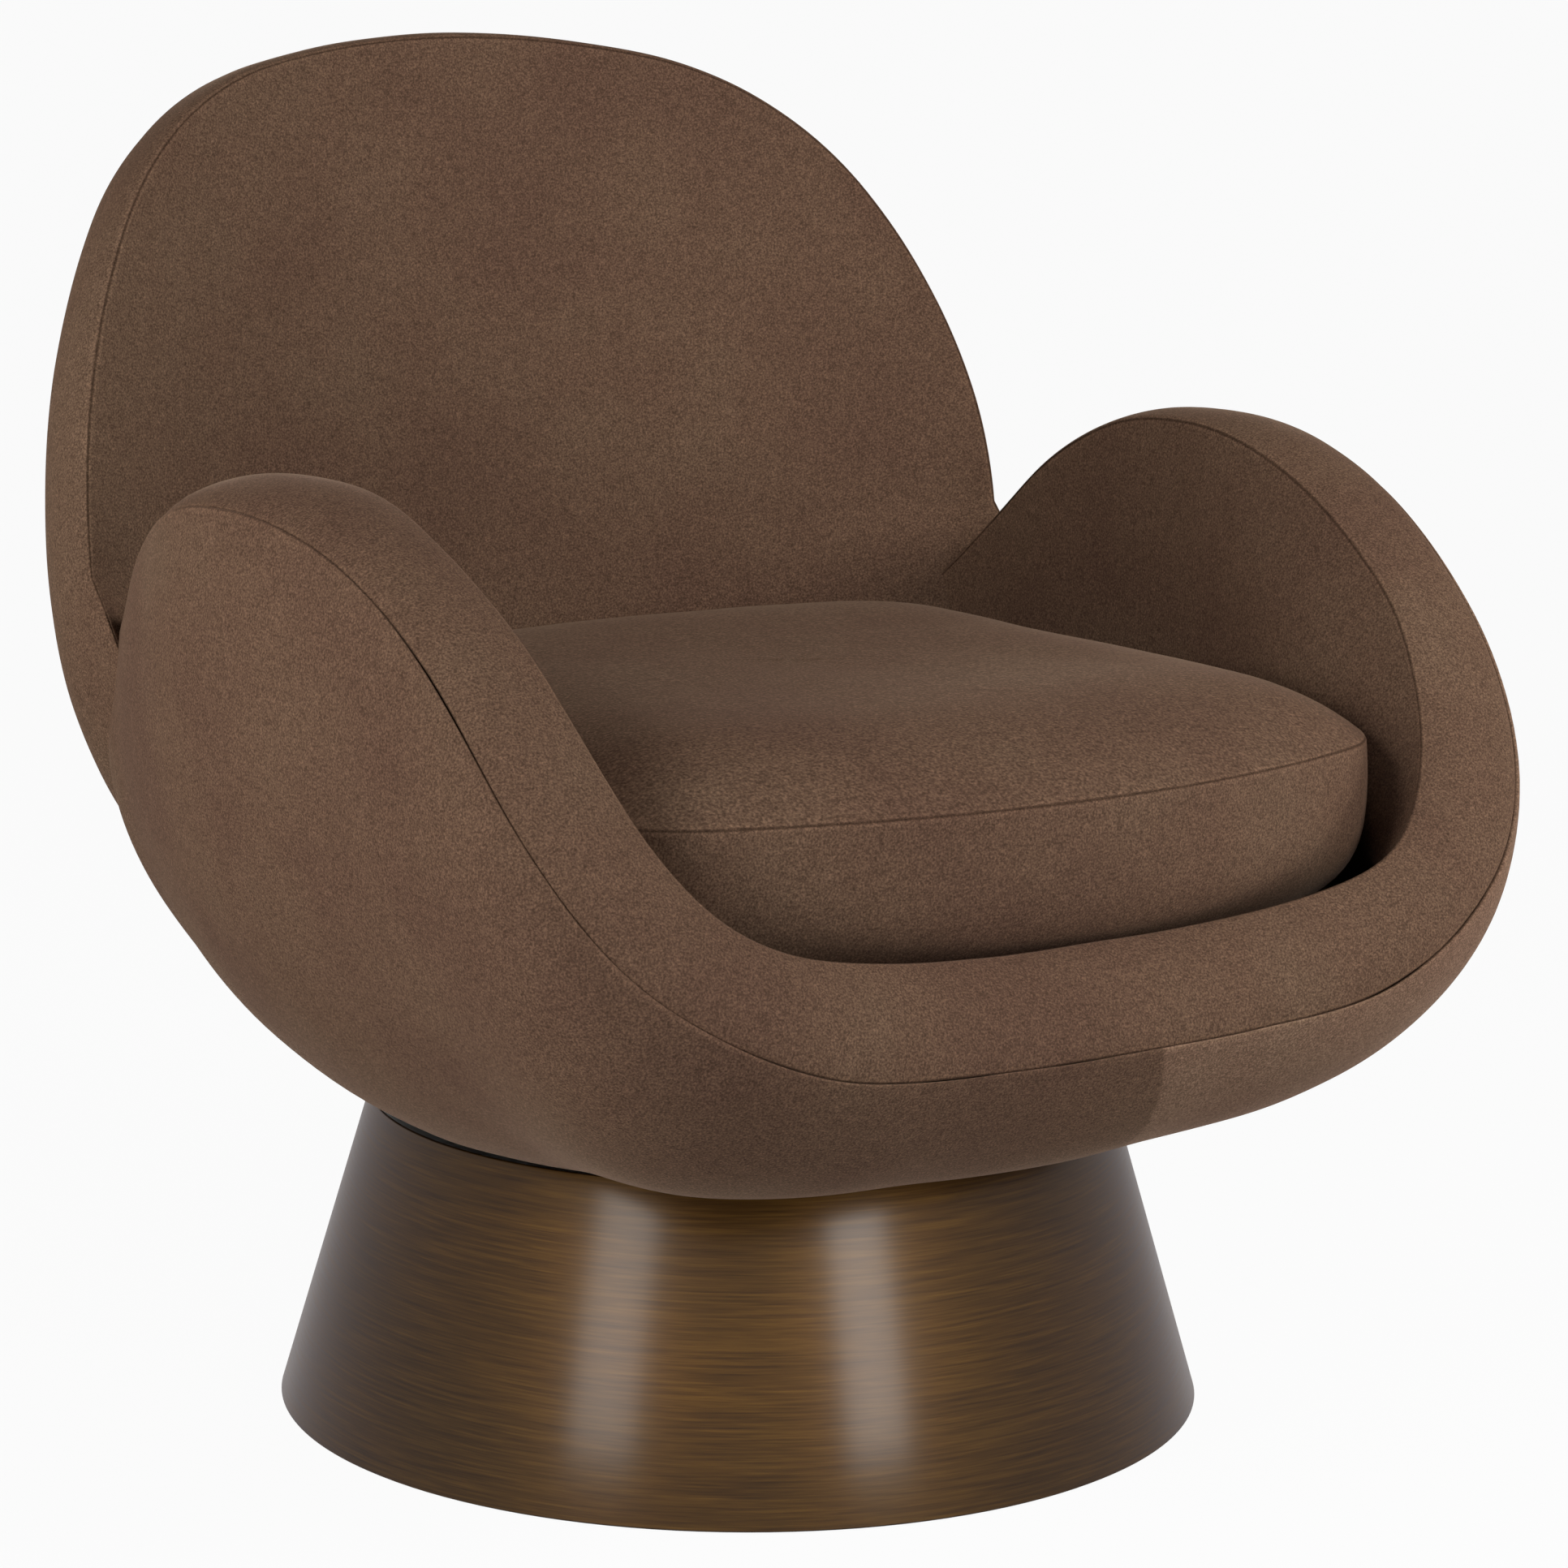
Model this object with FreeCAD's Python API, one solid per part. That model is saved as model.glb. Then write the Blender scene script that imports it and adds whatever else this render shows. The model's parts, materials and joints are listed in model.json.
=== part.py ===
import FreeCAD, Part
import math
import os

# Swivel lounge chair: conical pedestal, upholstered bowl with petal arms, dished oval back, loose cushion.
# Millimetres, +Z up, the chair faces -Y, origin on the floor on the swivel axis.

# Pedestal
base_bottom_radius = 280.0
base_top_radius = 225.0
base_height = 187.0
skirt_wall = 2.0
skirt_lift = 0.8
felt_thickness = 3.0
bottom_plate_thickness = 12.0
top_plate_thickness = 6.0
top_plate_recess = 6.0
ballast_radius = 95.0
ballast_thickness = 30.0
post_count = 4
post_radius = 12.0
post_circle = 130.0
post_screw_radius = 4.0
post_screw_depth = 25.0
screw_head_height = 4.0

# Swivel bearing
swivel_plate_side = 200.0
swivel_plate_thickness = 4.0
swivel_gap = 6.0
ball_radius = 5.0
ball_count = 16
ball_circle = 70.0
cage_width = 18.0
cage_thickness = 2.0
pin_radius = 10.0
pin_head_radius = 17.0
pin_head_height = 3.0
swivel_bolt_spacing = 160.0
swivel_bolt_radius = 4.0
swivel_bolt_head_radius = 8.0
swivel_bolt_head_height = 5.0

# Seat frame
platform_radius = 195.0
platform_thickness = 18.0
riser_width = 50.0
riser_height = 59.0
riser_spacing = 240.0
rail_width = 40.0
rail_height = 40.0
rail_length = 608.0
rail_end_height = 16.0
rail_end_taper = 70.0
rail_spacing = 130.0
panel_thickness = 15.0
arm_panel_margin = 58.0
arm_panel_foot = 130.0
arm_panel_foot_drop = 16.0
arm_panel_reach = 125.0
arm_panel_shoulder = 0.62
strap_count = 5
strap_width = 50.0
strap_thickness = 2.0
strap_pitch = 100.0
lip_board_length = 360.0
lip_board_height = 62.0
lip_board_drop = 14.0
lip_board_setback = 100.0
strut_width = 40.0
strut_spacing = 240.0

# Bowl
bowl_bottom_radius = 229.0
bowl_bottom_shift = 22.0
bowl_bottom_gap = 6.0
bowl_opening_radius = 150.0
bowl_core_radius = 30.0
rim_reach = 400.0
rim_rise = 300.0
lip_height = 283.0
band_crown = 8.0
deck_height = 318.0
deck_margin = 9.0
deck_hem = 40.0
deck_points = 36
bowl_overlap = 3
bowl_sections = 30
band_samples = 180
deck_gap = 1.0

# Back pad
back_half_width = 341.0
back_rise = 328.0
back_drop = 258.0
back_centre_height = 486.5
back_curve_radius = 700.0
back_front_depth = 273.0
back_lean = 9.5
back_thickness = 78.0
back_crown_radius = 596.0
back_foot_radius = 559.0
back_side_radius = 396.0
back_corner_radius = 225.0
back_front_round = 16.0
back_rear_round = 52.0
back_panel_depth = 36.0
back_panel_thickness = 15.0
back_panel_margin = 32.0
back_seam_depth = 3.0
bracket_width = 45.0
bracket_spacing = 180.0
back_bolt_radius = 4.0
back_bolt_head_radius = 8.0
back_bolt_head_height = 5.0
back_bolt_grip = 40.0
bolt_seat_share = 0.5

# Seat cushion; its boxing profile pairs a share of the boxing's height with a share of the bottom tuck.
cushion_half_width = 292.0
cushion_front = 332.0
cushion_rear = 244.0
cushion_centre = 45.0
cushion_front_radius = 640.0
cushion_rear_radius = 660.0
cushion_side_radius = 1500.0
cushion_corner_radius = 88.0
cushion_boxing = 99.0
cushion_crown = 38.0
cushion_bottom_tuck = 40.0
top_seam_tuck = 2.0
bottom_seam_share = 0.1
boxing_profile = ((0.0, 1.0), (0.13, 0.45), (0.34, 0.12), (0.58, 0.0), (0.80, 0.0))
cushion_crown_run = 165.0
cushion_crown_steps = 5
crown_fullness = 3.4
cushion_corner_share = 0.4

# Covers and clearances
cover_thickness = 1.5
cover_gap = 0.8
seam_gap = 0.3
seat_gap = 0.4
fit_gap = 0.2
ball_gap = 0.15
pin_gap = 0.3

# Heights that follow from the stack
felt_top = felt_thickness
bottom_plate_top = felt_top + bottom_plate_thickness
top_plate_top = base_height - top_plate_recess
top_plate_bottom = top_plate_top - top_plate_thickness
lower_plate_top = top_plate_top + swivel_plate_thickness
upper_plate_bottom = lower_plate_top + swivel_gap
upper_plate_top = upper_plate_bottom + swivel_plate_thickness
ball_height = lower_plate_top + swivel_gap / 2
platform_top = upper_plate_top + platform_thickness
rail_bottom = platform_top + riser_height
rail_top = rail_bottom + rail_height
bowl_bottom = base_height + bowl_bottom_gap
arm_height = lip_height + rim_rise
cushion_bottom = deck_height + seat_gap
cushion_seam = cushion_bottom + cushion_boxing

# Rim stations: angle from the front, then reach and rise of the outer seam and of the inner seam.
# Reaches are shares of rim_reach, rises are shares of rim_rise above the front lip.
# The last two values are degrees: how steeply the outer cover leaves the bottom of the bowl,
# and how far it leans outward from upright where it meets the outer seam.
rim_stations = [
    (0, 0.915, 0.000, 0.812, 0.180, 4, 24),
    (14, 0.940, 0.003, 0.838, 0.183, 4, 24),
    (27, 1.018, 0.027, 0.930, 0.217, 0, 22),
    (33, 1.070, 0.080, 0.988, 0.257, 0, 18),
    (38, 1.110, 0.150, 1.010, 0.327, 1, 11),
    (43, 1.145, 0.250, 1.012, 0.460, 4, 2),
    (46, 1.153, 0.343, 0.995, 0.563, 6, -4),
    (50, 1.143, 0.480, 0.965, 0.687, 10, -12),
    (54, 1.105, 0.623, 0.920, 0.773, 14, -16),
    (58, 1.063, 0.737, 0.885, 0.837, 18, -17),
    (64, 1.015, 0.847, 0.840, 0.907, 21, -15),
    (72, 0.973, 0.927, 0.792, 0.967, 24, -12),
    (82, 0.950, 0.963, 0.762, 0.990, 26, -10),
    (94, 0.932, 0.937, 0.752, 0.967, 27, -10),
    (106, 0.910, 0.823, 0.772, 0.860, 25, -10),
    (116, 0.910, 0.657, 0.825, 0.697, 23, -10),
    (126, 0.935, 0.483, 0.880, 0.517, 23, -9),
    (140, 0.860, 0.317, 0.810, 0.337, 27, -2),
    (158, 0.760, 0.207, 0.715, 0.220, 36, 8),
    (180, 0.720, 0.173, 0.675, 0.183, 36, 12),
]


def polar(angle, radius, height):
    """Point at an angle in degrees from the front (-Y) towards +X."""
    turn = math.radians(angle)
    return FreeCAD.Vector(radius * math.sin(turn), -radius * math.cos(turn), height)


def box(x0, x1, y0, y1, z0, z1):
    return Part.makeBox(x1 - x0, y1 - y0, z1 - z0, FreeCAD.Vector(x0, y0, z0))


def disc(radius, z0, z1, x=0.0, y=0.0):
    return Part.makeCylinder(radius, z1 - z0, FreeCAD.Vector(x, y, z0))


def save(name, shapes):
    """Write one named piece, or a group of like pieces, as its own file."""
    solids = [solid for shape in shapes for solid in shape.Solids]
    whole = solids[0] if len(solids) == 1 else Part.makeCompound(solids)
    os.makedirs("parts", exist_ok=True)
    whole.exportStep("parts/" + name + ".step")
    print(name, len(solids), round(whole.Volume / 1000, 1), whole.isValid())


def corner_centre(half_width, depth, end_radius, side_radius, corner_radius):
    """Centre of the corner arc that runs smoothly from the end arc into the side arc."""
    end_y = depth - end_radius
    side_x = half_width - side_radius
    end_reach = end_radius - corner_radius
    side_reach = side_radius - corner_radius
    apart = math.hypot(side_x, end_y)
    along = (end_reach**2 - side_reach**2 + apart**2) / (2 * apart)
    across = math.sqrt(end_reach**2 - along**2)
    ux = side_x / apart
    uy = -end_y / apart
    points = []
    for side in (1, -1):
        points.append((ux * along - side * uy * across, end_y + uy * along + side * ux * across))
    return max(points, key=lambda point: point[0] + point[1])


def quarter_points(half_width, depth, end_radius, side_radius, corner_radius):
    """End of the end arc, middle of the corner arc and start of the side arc of one quarter oval."""
    cx, cy = corner_centre(half_width, depth, end_radius, side_radius, corner_radius)
    end_y = depth - end_radius
    side_x = half_width - side_radius
    end_angle = math.atan2(cy - end_y, cx)
    side_angle = math.atan2(cy, cx - side_x)
    middle = (end_angle + side_angle) / 2
    points = []
    for angle in (end_angle, middle, side_angle):
        points.append((cx + corner_radius * math.cos(angle), cy + corner_radius * math.sin(angle)))
    return points


def oval(half_width, front, rear, front_radius, rear_radius, side_radius, corner_radius, place):
    """Closed oval of eight tangent arcs; place turns a flat point (x, depth) into a point in space."""
    f0, f1, f2 = quarter_points(half_width, front, front_radius, side_radius, corner_radius)
    r0, r1, r2 = quarter_points(half_width, rear, rear_radius, side_radius, corner_radius)
    flat = [
        ((-f0[0], -f0[1]), (0, -front), (f0[0], -f0[1])),
        ((f0[0], -f0[1]), (f1[0], -f1[1]), (f2[0], -f2[1])),
        ((f2[0], -f2[1]), (half_width, 0), (r2[0], r2[1])),
        ((r2[0], r2[1]), (r1[0], r1[1]), (r0[0], r0[1])),
        ((r0[0], r0[1]), (0, rear), (-r0[0], r0[1])),
        ((-r0[0], r0[1]), (-r1[0], r1[1]), (-r2[0], r2[1])),
        ((-r2[0], r2[1]), (-half_width, 0), (-f2[0], -f2[1])),
        ((-f2[0], -f2[1]), (-f1[0], -f1[1]), (-f0[0], -f0[1])),
    ]
    edges = []
    for start, middle, end in flat:
        edges.append(Part.Arc(place(*start), place(*middle), place(*end)).toShape())
    return Part.Wire(edges)


def biarc(start, start_turn, end, end_turn):
    """Points of two tangent arcs from start to end; directions are angles in the section plane."""
    sx, sy = math.cos(start_turn), math.sin(start_turn)
    ex, ey = math.cos(end_turn), math.sin(end_turn)
    vx, vy = end[0] - start[0], end[1] - start[1]
    chord = vx * vx + vy * vy
    lean = vx * (sx + ex) + vy * (sy + ey)
    spread = 2 * (1 - (sx * ex + sy * ey))
    reach = (-lean + math.sqrt(lean * lean + spread * chord)) / spread
    joint = (
        (start[0] + end[0] + reach * (sx - ex)) / 2,
        (start[1] + end[1] + reach * (sy - ey)) / 2,
    )
    middles = []
    for point, dx, dy in ((start, sx, sy), (end, ex, ey)):
        middles.append(arc_middle(point, dx, dy, joint))
    return [start, middles[0], joint, middles[1], end]


def arc_middle(point, dx, dy, other):
    """Middle of the arc that leaves point along (dx, dy) and ends at other."""
    vx, vy = other[0] - point[0], other[1] - point[1]
    side = -dy * vx + dx * vy
    radius = (vx * vx + vy * vy) / (2 * side)
    cx, cy = point[0] - dy * radius, point[1] + dx * radius
    mx, my = (point[0] + other[0]) / 2 - cx, (point[1] + other[1]) / 2 - cy
    scale = abs(radius) / math.hypot(mx, my)
    return (cx + mx * scale, cy + my * scale)


def cut_corner(point, first_normal, first_inset, second_normal, second_inset):
    """Corner point moved in from two faces by their own insets."""
    ax, ay = first_normal
    bx, by = second_normal
    det = ax * by - ay * bx
    dx = (-first_inset * by + second_inset * ay) / det
    dy = (-second_inset * ax + first_inset * bx) / det
    return (point[0] + dx, point[1] + dy)


class BowlSection:
    """Upright section of the bowl at one rim station, in (radius, height)."""

    def __init__(self, station):
        self.angle, outer_reach, outer_rise, inner_reach, inner_rise, foot, lean = station
        self.outer_seam = (rim_reach * outer_reach, lip_height + rim_rise * outer_rise)
        self.inner_seam = (rim_reach * inner_reach, lip_height + rim_rise * inner_rise)
        self.deck_corner = (self.inner_seam[0] - deck_margin, deck_height)
        self.foot = math.radians(foot)
        self.lean = math.radians(lean)
        self.outer_normal = (math.cos(self.lean), -math.sin(self.lean))
        across = (self.inner_seam[0] - self.outer_seam[0], self.inner_seam[1] - self.outer_seam[1])
        width = math.hypot(*across)
        self.band_normal = (across[1] / width, -across[0] / width)
        wall = (self.inner_seam[0] - self.deck_corner[0], self.inner_seam[1] - self.deck_corner[1])
        height = math.hypot(*wall)
        self.wall_normal = (-wall[1] / height, wall[0] / height)

    def outer_point(self, outer_inset, band_inset):
        return cut_corner(self.outer_seam, self.outer_normal, outer_inset, self.band_normal, band_inset)

    def inner_point(self, inner_inset, band_inset):
        return cut_corner(self.inner_seam, self.wall_normal, inner_inset, self.band_normal, band_inset)

    def deck_point(self, inset):
        return cut_corner(self.deck_corner, self.wall_normal, inset, (0, 1), inset)

    def outer_curve(self, inset, band_inset):
        foot_radius = bowl_bottom_radius + bowl_bottom_shift * math.cos(math.radians(self.angle))
        foot = (foot_radius, bowl_bottom + inset)
        return biarc(foot, self.foot, self.outer_point(inset, band_inset), math.pi / 2 - self.lean)

    def band_curve(self, inset):
        start = self.outer_point(inset, inset)
        end = self.inner_point(inset, inset)
        middle = (
            (start[0] + end[0]) / 2 + self.band_normal[0] * band_crown,
            (start[1] + end[1]) / 2 + self.band_normal[1] * band_crown,
        )
        return [start, middle, end]

    def line(self, start, end):
        return Part.LineSegment(polar(self.angle, *start), polar(self.angle, *end)).toShape()

    def arcs(self, points):
        edges = []
        for k in range(0, len(points) - 2, 2):
            trio = [polar(self.angle, *point) for point in points[k:k + 3]]
            edges.append(Part.Arc(*trio).toShape())
        return edges

    def foam_wire(self, inset):
        outer = self.outer_curve(inset, inset)
        band = self.band_curve(inset)
        deck = self.deck_point(inset)
        core_top = (bowl_core_radius, deck_height - inset)
        core_bottom = (bowl_core_radius, bowl_bottom + inset)
        edges = [self.line(core_bottom, outer[0])]
        edges += self.arcs(outer)
        edges += self.arcs(band)
        edges += [self.line(band[2], deck), self.line(deck, core_top), self.line(core_top, core_bottom)]
        return Part.Wire(edges)

    def outer_cover_wire(self):
        face = self.outer_curve(0, seam_gap)
        lining = self.outer_curve(cover_thickness, cover_thickness + seam_gap)
        lining.reverse()
        hem_face = (bowl_opening_radius, bowl_bottom)
        hem_lining = (bowl_opening_radius, bowl_bottom + cover_thickness)
        edges = [self.line(hem_face, face[0])]
        edges += self.arcs(face)
        edges += [self.line(face[-1], lining[0])]
        edges += self.arcs(lining)
        edges += [self.line(lining[-1], hem_lining), self.line(hem_lining, hem_face)]
        return Part.Wire(edges)

    def band_wire(self):
        face = self.band_curve(0)
        lining = self.band_curve(cover_thickness)
        lining.reverse()
        edges = self.arcs(face)
        edges += [self.line(face[-1], lining[0])]
        edges += self.arcs(lining)
        edges += [self.line(lining[-1], face[0])]
        return Part.Wire(edges)

    def inner_cover_wire(self):
        face = [self.inner_point(0, seam_gap), self.deck_point(0)]
        face.append((self.deck_corner[0] - deck_hem, deck_height))
        lining = [self.inner_point(cover_thickness, cover_thickness + seam_gap)]
        lining.append(self.deck_point(cover_thickness))
        lining.append((self.deck_corner[0] - deck_hem, deck_height - cover_thickness))
        points = face + lining[::-1]
        edges = []
        for k in range(len(points)):
            edges.append(self.line(points[k], points[(k + 1) % len(points)]))
        return Part.Wire(edges)

    def deck_edge(self, height):
        return polar(self.angle, self.deck_corner[0] - deck_hem - deck_gap, height)


def rim_at(angle):
    """Rim values at any angle, on a smooth curve through the stations."""
    mirrored = abs((angle + 180) % 360 - 180)
    knots = [(-row[0],) + row[1:] for row in rim_stations[2:0:-1]] + rim_stations
    knots = knots + [(360 - row[0],) + row[1:] for row in rim_stations[-2:-4:-1]]
    k = 2
    while k < len(knots) - 3 and knots[k + 1][0] <= mirrored:
        k += 1
    before, start, end, after = knots[k - 1:k + 3]
    span = end[0] - start[0]
    t = (mirrored - start[0]) / span
    values = []
    for column in range(1, len(start)):
        start_slope = (end[column] - before[column]) / (end[0] - before[0]) * span
        end_slope = (after[column] - start[column]) / (after[0] - start[0]) * span
        rise = end[column] - start[column]
        bend = start_slope + end_slope - 2 * rise
        values.append(start[column] + t * (start_slope + t * (rise - start_slope - bend + t * bend)))
    return (angle,) + tuple(values)


def even_angles(count):
    """Angles from the front to the rear that share the length of the band evenly."""
    trial = [180 * k / band_samples for k in range(band_samples + 1)]
    middles = []
    for angle in trial:
        section = BowlSection(rim_at(angle))
        seams = polar(angle, *section.outer_seam) + polar(angle, *section.inner_seam)
        middles.append(seams / 2)
    lengths = [0.0]
    for a, b in zip(middles, middles[1:]):
        lengths.append(lengths[-1] + (b - a).Length)
    angles = [0.0]
    for k in range(1, count):
        target = lengths[-1] * k / count
        step = sum(1 for length in lengths if length <= target) - 1
        part = (target - lengths[step]) / (lengths[step + 1] - lengths[step])
        angles.append(trial[step] + part * (trial[step + 1] - trial[step]))
    return angles + [180.0]


def bowl_piece(wire_of, clear_of):
    """Loft one half of a bowl piece past its middle, trim it there, mirror it and clear the back."""
    angles = even_angles(bowl_sections)
    angles = [-angle for angle in angles[bowl_overlap:0:-1]] + angles
    angles += [360 - angle for angle in angles[-2:-2 - bowl_overlap:-1]]
    wires = [wire_of(BowlSection(rim_at(angle))) for angle in angles]
    loft = Part.makeLoft(wires, True, False)
    right_side = box(0, 2 * rim_reach, -2 * rim_reach, 2 * rim_reach, 0, 2 * arm_height)
    half = loft.common(right_side).Solids[0]
    other = half.mirror(FreeCAD.Vector(0, 0, 0), FreeCAD.Vector(1, 0, 0))
    ring = half.fuse(other).removeSplitter().cut(clear_of)
    return max(ring.Solids, key=lambda solid: solid.Volume)


def deck_sheet():
    """Lining cloth stretched over the seat deck inside the inner cover."""
    points = []
    for k in range(deck_points):
        section = BowlSection(rim_at(-180 + 360 * k / deck_points))
        points.append(section.deck_edge(deck_height - cover_thickness))
    edge = Part.BSplineCurve()
    edge.interpolate(points, PeriodicFlag=True)
    sheet = Part.Face(Part.Wire(edge.toShape()))
    return sheet.extrude(FreeCAD.Vector(0, 0, cover_thickness))


def back_place(shape):
    """Set an upright back piece at its height and lean."""
    shape.rotate(FreeCAD.Vector(0, 0, 0), FreeCAD.Vector(1, 0, 0), -back_lean)
    shape.translate(FreeCAD.Vector(0, back_front_depth, back_centre_height))
    return shape


def back_barrel(depth):
    """Everything in front of the back's curved surface at this depth behind the front face."""
    radius = back_curve_radius + depth
    height = 4 * (back_rise + back_drop)
    return Part.makeCylinder(radius, height, FreeCAD.Vector(0, -back_curve_radius, -height / 2))


def back_blank(inset, front_depth, rear_depth):
    """Curved oval slab between two depths, before its edges are rounded."""
    outline = oval(
        back_half_width - inset, back_drop - inset, back_rise - inset,
        back_foot_radius - inset, back_crown_radius - inset,
        back_side_radius - inset, back_corner_radius - inset,
        lambda x, z: FreeCAD.Vector(x, -back_curve_radius, z))
    prism = Part.Face(outline).extrude(FreeCAD.Vector(0, 2 * back_curve_radius, 0))
    slab = back_barrel(rear_depth).cut(back_barrel(front_depth))
    return prism.common(slab).Solids[0]


def back_pad(inset):
    """Upholstered back with rounded edges, moved in by inset all over."""
    rear_depth = back_thickness - inset
    pad = back_blank(inset, inset, rear_depth)
    for depth, radius in ((inset, back_front_round - inset), (rear_depth, back_rear_round - inset)):
        rim = []
        for edge in pad.Edges:
            middle = edge.valueAt((edge.FirstParameter + edge.LastParameter) / 2)
            from_axis = math.hypot(middle.x, middle.y + back_curve_radius)
            if abs(from_axis - back_curve_radius - depth) < cover_gap / 2:
                rim.append(edge)
        pad = pad.makeFillet(radius, rim).Solids[0]
    return pad


def cushion_wire(height, shrink):
    return oval(
        cushion_half_width - shrink,
        cushion_front - cushion_centre - shrink, cushion_rear + cushion_centre - shrink,
        cushion_front_radius - shrink, cushion_rear_radius - shrink,
        cushion_side_radius - shrink, cushion_corner_radius - shrink * cushion_corner_share,
        lambda x, y: FreeCAD.Vector(x, y - cushion_centre, height))


def cushion_body(inset):
    """Boxing of the cushion from its tucked-in bottom up to the top seam, moved in by inset."""
    wires = []
    for share, tuck in boxing_profile:
        height = cushion_bottom + inset + (cushion_boxing - inset) * share
        wires.append(cushion_wire(height, cushion_bottom_tuck * tuck + inset))
    wires.append(cushion_wire(cushion_seam, top_seam_tuck + inset))
    return Part.makeLoft(wires, True, False)


def cushion_top(inset):
    """Crowned top of the cushion above the seam, moved in by inset."""
    wires = []
    for step in range(cushion_crown_steps + 1):
        share = step / cushion_crown_steps
        shrink = top_seam_tuck + share * cushion_crown_run + inset
        rise = (cushion_crown - inset) * (1 - (1 - share) ** crown_fullness)
        wires.append(cushion_wire(cushion_seam + rise, shrink))
    return Part.makeLoft(wires, True, False)


def skirt_radius(height):
    return base_bottom_radius + (base_top_radius - base_bottom_radius) * height / base_height


def skirt_disc(z0, z1, inward):
    """Disc whose slanted edge stays a set distance inside the outside of the skirt."""
    start = FreeCAD.Vector(0, 0, z0)
    return Part.makeCone(skirt_radius(z0) - inward, skirt_radius(z1) - inward, z1 - z0, start)


def square_corners(spacing):
    half = spacing / 2
    return [(x, y) for x in (-half, half) for y in (-half, half)]


def ring_points(count, radius):
    turn = 2 * math.pi / count
    return [(radius * math.cos(k * turn), radius * math.sin(k * turn)) for k in range(count)]


def centred_box(width, depth, z0, z1, x=0.0, y=0.0):
    return box(x - width / 2, x + width / 2, y - depth / 2, y + depth / 2, z0, z1)


# Pedestal
skirt_inside = skirt_wall + fit_gap
skirt = skirt_disc(skirt_lift, base_height, 0).cut(skirt_disc(0, base_height + fit_gap, skirt_wall))
felt_pad = skirt_disc(0, felt_top, skirt_inside)
bottom_plate = skirt_disc(felt_top, bottom_plate_top, skirt_inside)
top_plate = skirt_disc(top_plate_bottom, top_plate_top, skirt_inside)
ballast = disc(ballast_radius, bottom_plate_top, bottom_plate_top + ballast_thickness)
posts = []
post_screws = []
screw_head_radius = 2 * post_screw_radius
for x, y in ring_points(post_count, post_circle):
    post = disc(post_radius, bottom_plate_top, top_plate_bottom, x, y)
    low_end = bottom_plate_top + post_screw_depth
    high_end = top_plate_bottom - post_screw_depth
    low_head = felt_top + screw_head_height
    high_head = top_plate_top + screw_head_height
    low_hole = disc(post_screw_radius + fit_gap, felt_top, low_end + fit_gap, x, y)
    high_hole = disc(post_screw_radius + fit_gap, high_end - fit_gap, top_plate_top, x, y)
    bottom_plate = bottom_plate.cut(low_hole)
    bottom_plate = bottom_plate.cut(disc(screw_head_radius + fit_gap, felt_top, low_head, x, y))
    top_plate = top_plate.cut(high_hole)
    posts.append(post.cut(low_hole).cut(high_hole))
    low_screw = disc(screw_head_radius, felt_top, low_head, x, y)
    post_screws.append(low_screw.fuse(disc(post_screw_radius, low_head, low_end, x, y)))
    high_screw = disc(screw_head_radius, top_plate_top, high_head, x, y)
    post_screws.append(high_screw.fuse(disc(post_screw_radius, high_end, top_plate_top, x, y)))

# Swivel bearing
race = Part.makeTorus(ball_circle, ball_radius + ball_gap, FreeCAD.Vector(0, 0, ball_height))
lower_plate = centred_box(swivel_plate_side, swivel_plate_side, top_plate_top, lower_plate_top).cut(race)
upper_plate = centred_box(swivel_plate_side, swivel_plate_side, upper_plate_bottom, upper_plate_top).cut(race)
lower_plate = lower_plate.cut(disc(pin_radius + ball_gap, top_plate_top, lower_plate_top))
upper_plate = upper_plate.cut(disc(pin_radius + pin_gap, upper_plate_bottom, upper_plate_top))
top_plate = top_plate.cut(disc(pin_head_radius + fit_gap, top_plate_bottom, top_plate_top))
pin_head_bottom = upper_plate_top + pin_gap
pivot_pin = disc(pin_head_radius, top_plate_top - pin_head_height, top_plate_top)
pivot_pin = pivot_pin.fuse(disc(pin_radius, top_plate_top, pin_head_bottom))
pivot_pin = pivot_pin.fuse(disc(pin_head_radius, pin_head_bottom, pin_head_bottom + pin_head_height))
cage_low = ball_height - cage_thickness / 2
cage_high = ball_height + cage_thickness / 2
cage = disc(ball_circle + cage_width / 2, cage_low, cage_high)
cage = cage.cut(disc(ball_circle - cage_width / 2, cage_low, cage_high))
balls = []
for x, y in ring_points(ball_count, ball_circle):
    balls.append(Part.makeSphere(ball_radius, FreeCAD.Vector(x, y, ball_height)))
    cage = cage.cut(disc(ball_radius + ball_gap, cage_low, cage_high, x, y))
platform = disc(platform_radius, upper_plate_top, platform_top)
platform = platform.cut(disc(pin_head_radius + pin_head_height, upper_plate_top, platform_top))
plate_screws = []
plate_bolts = []
bolt_head_top = platform_top + swivel_bolt_head_height
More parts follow.
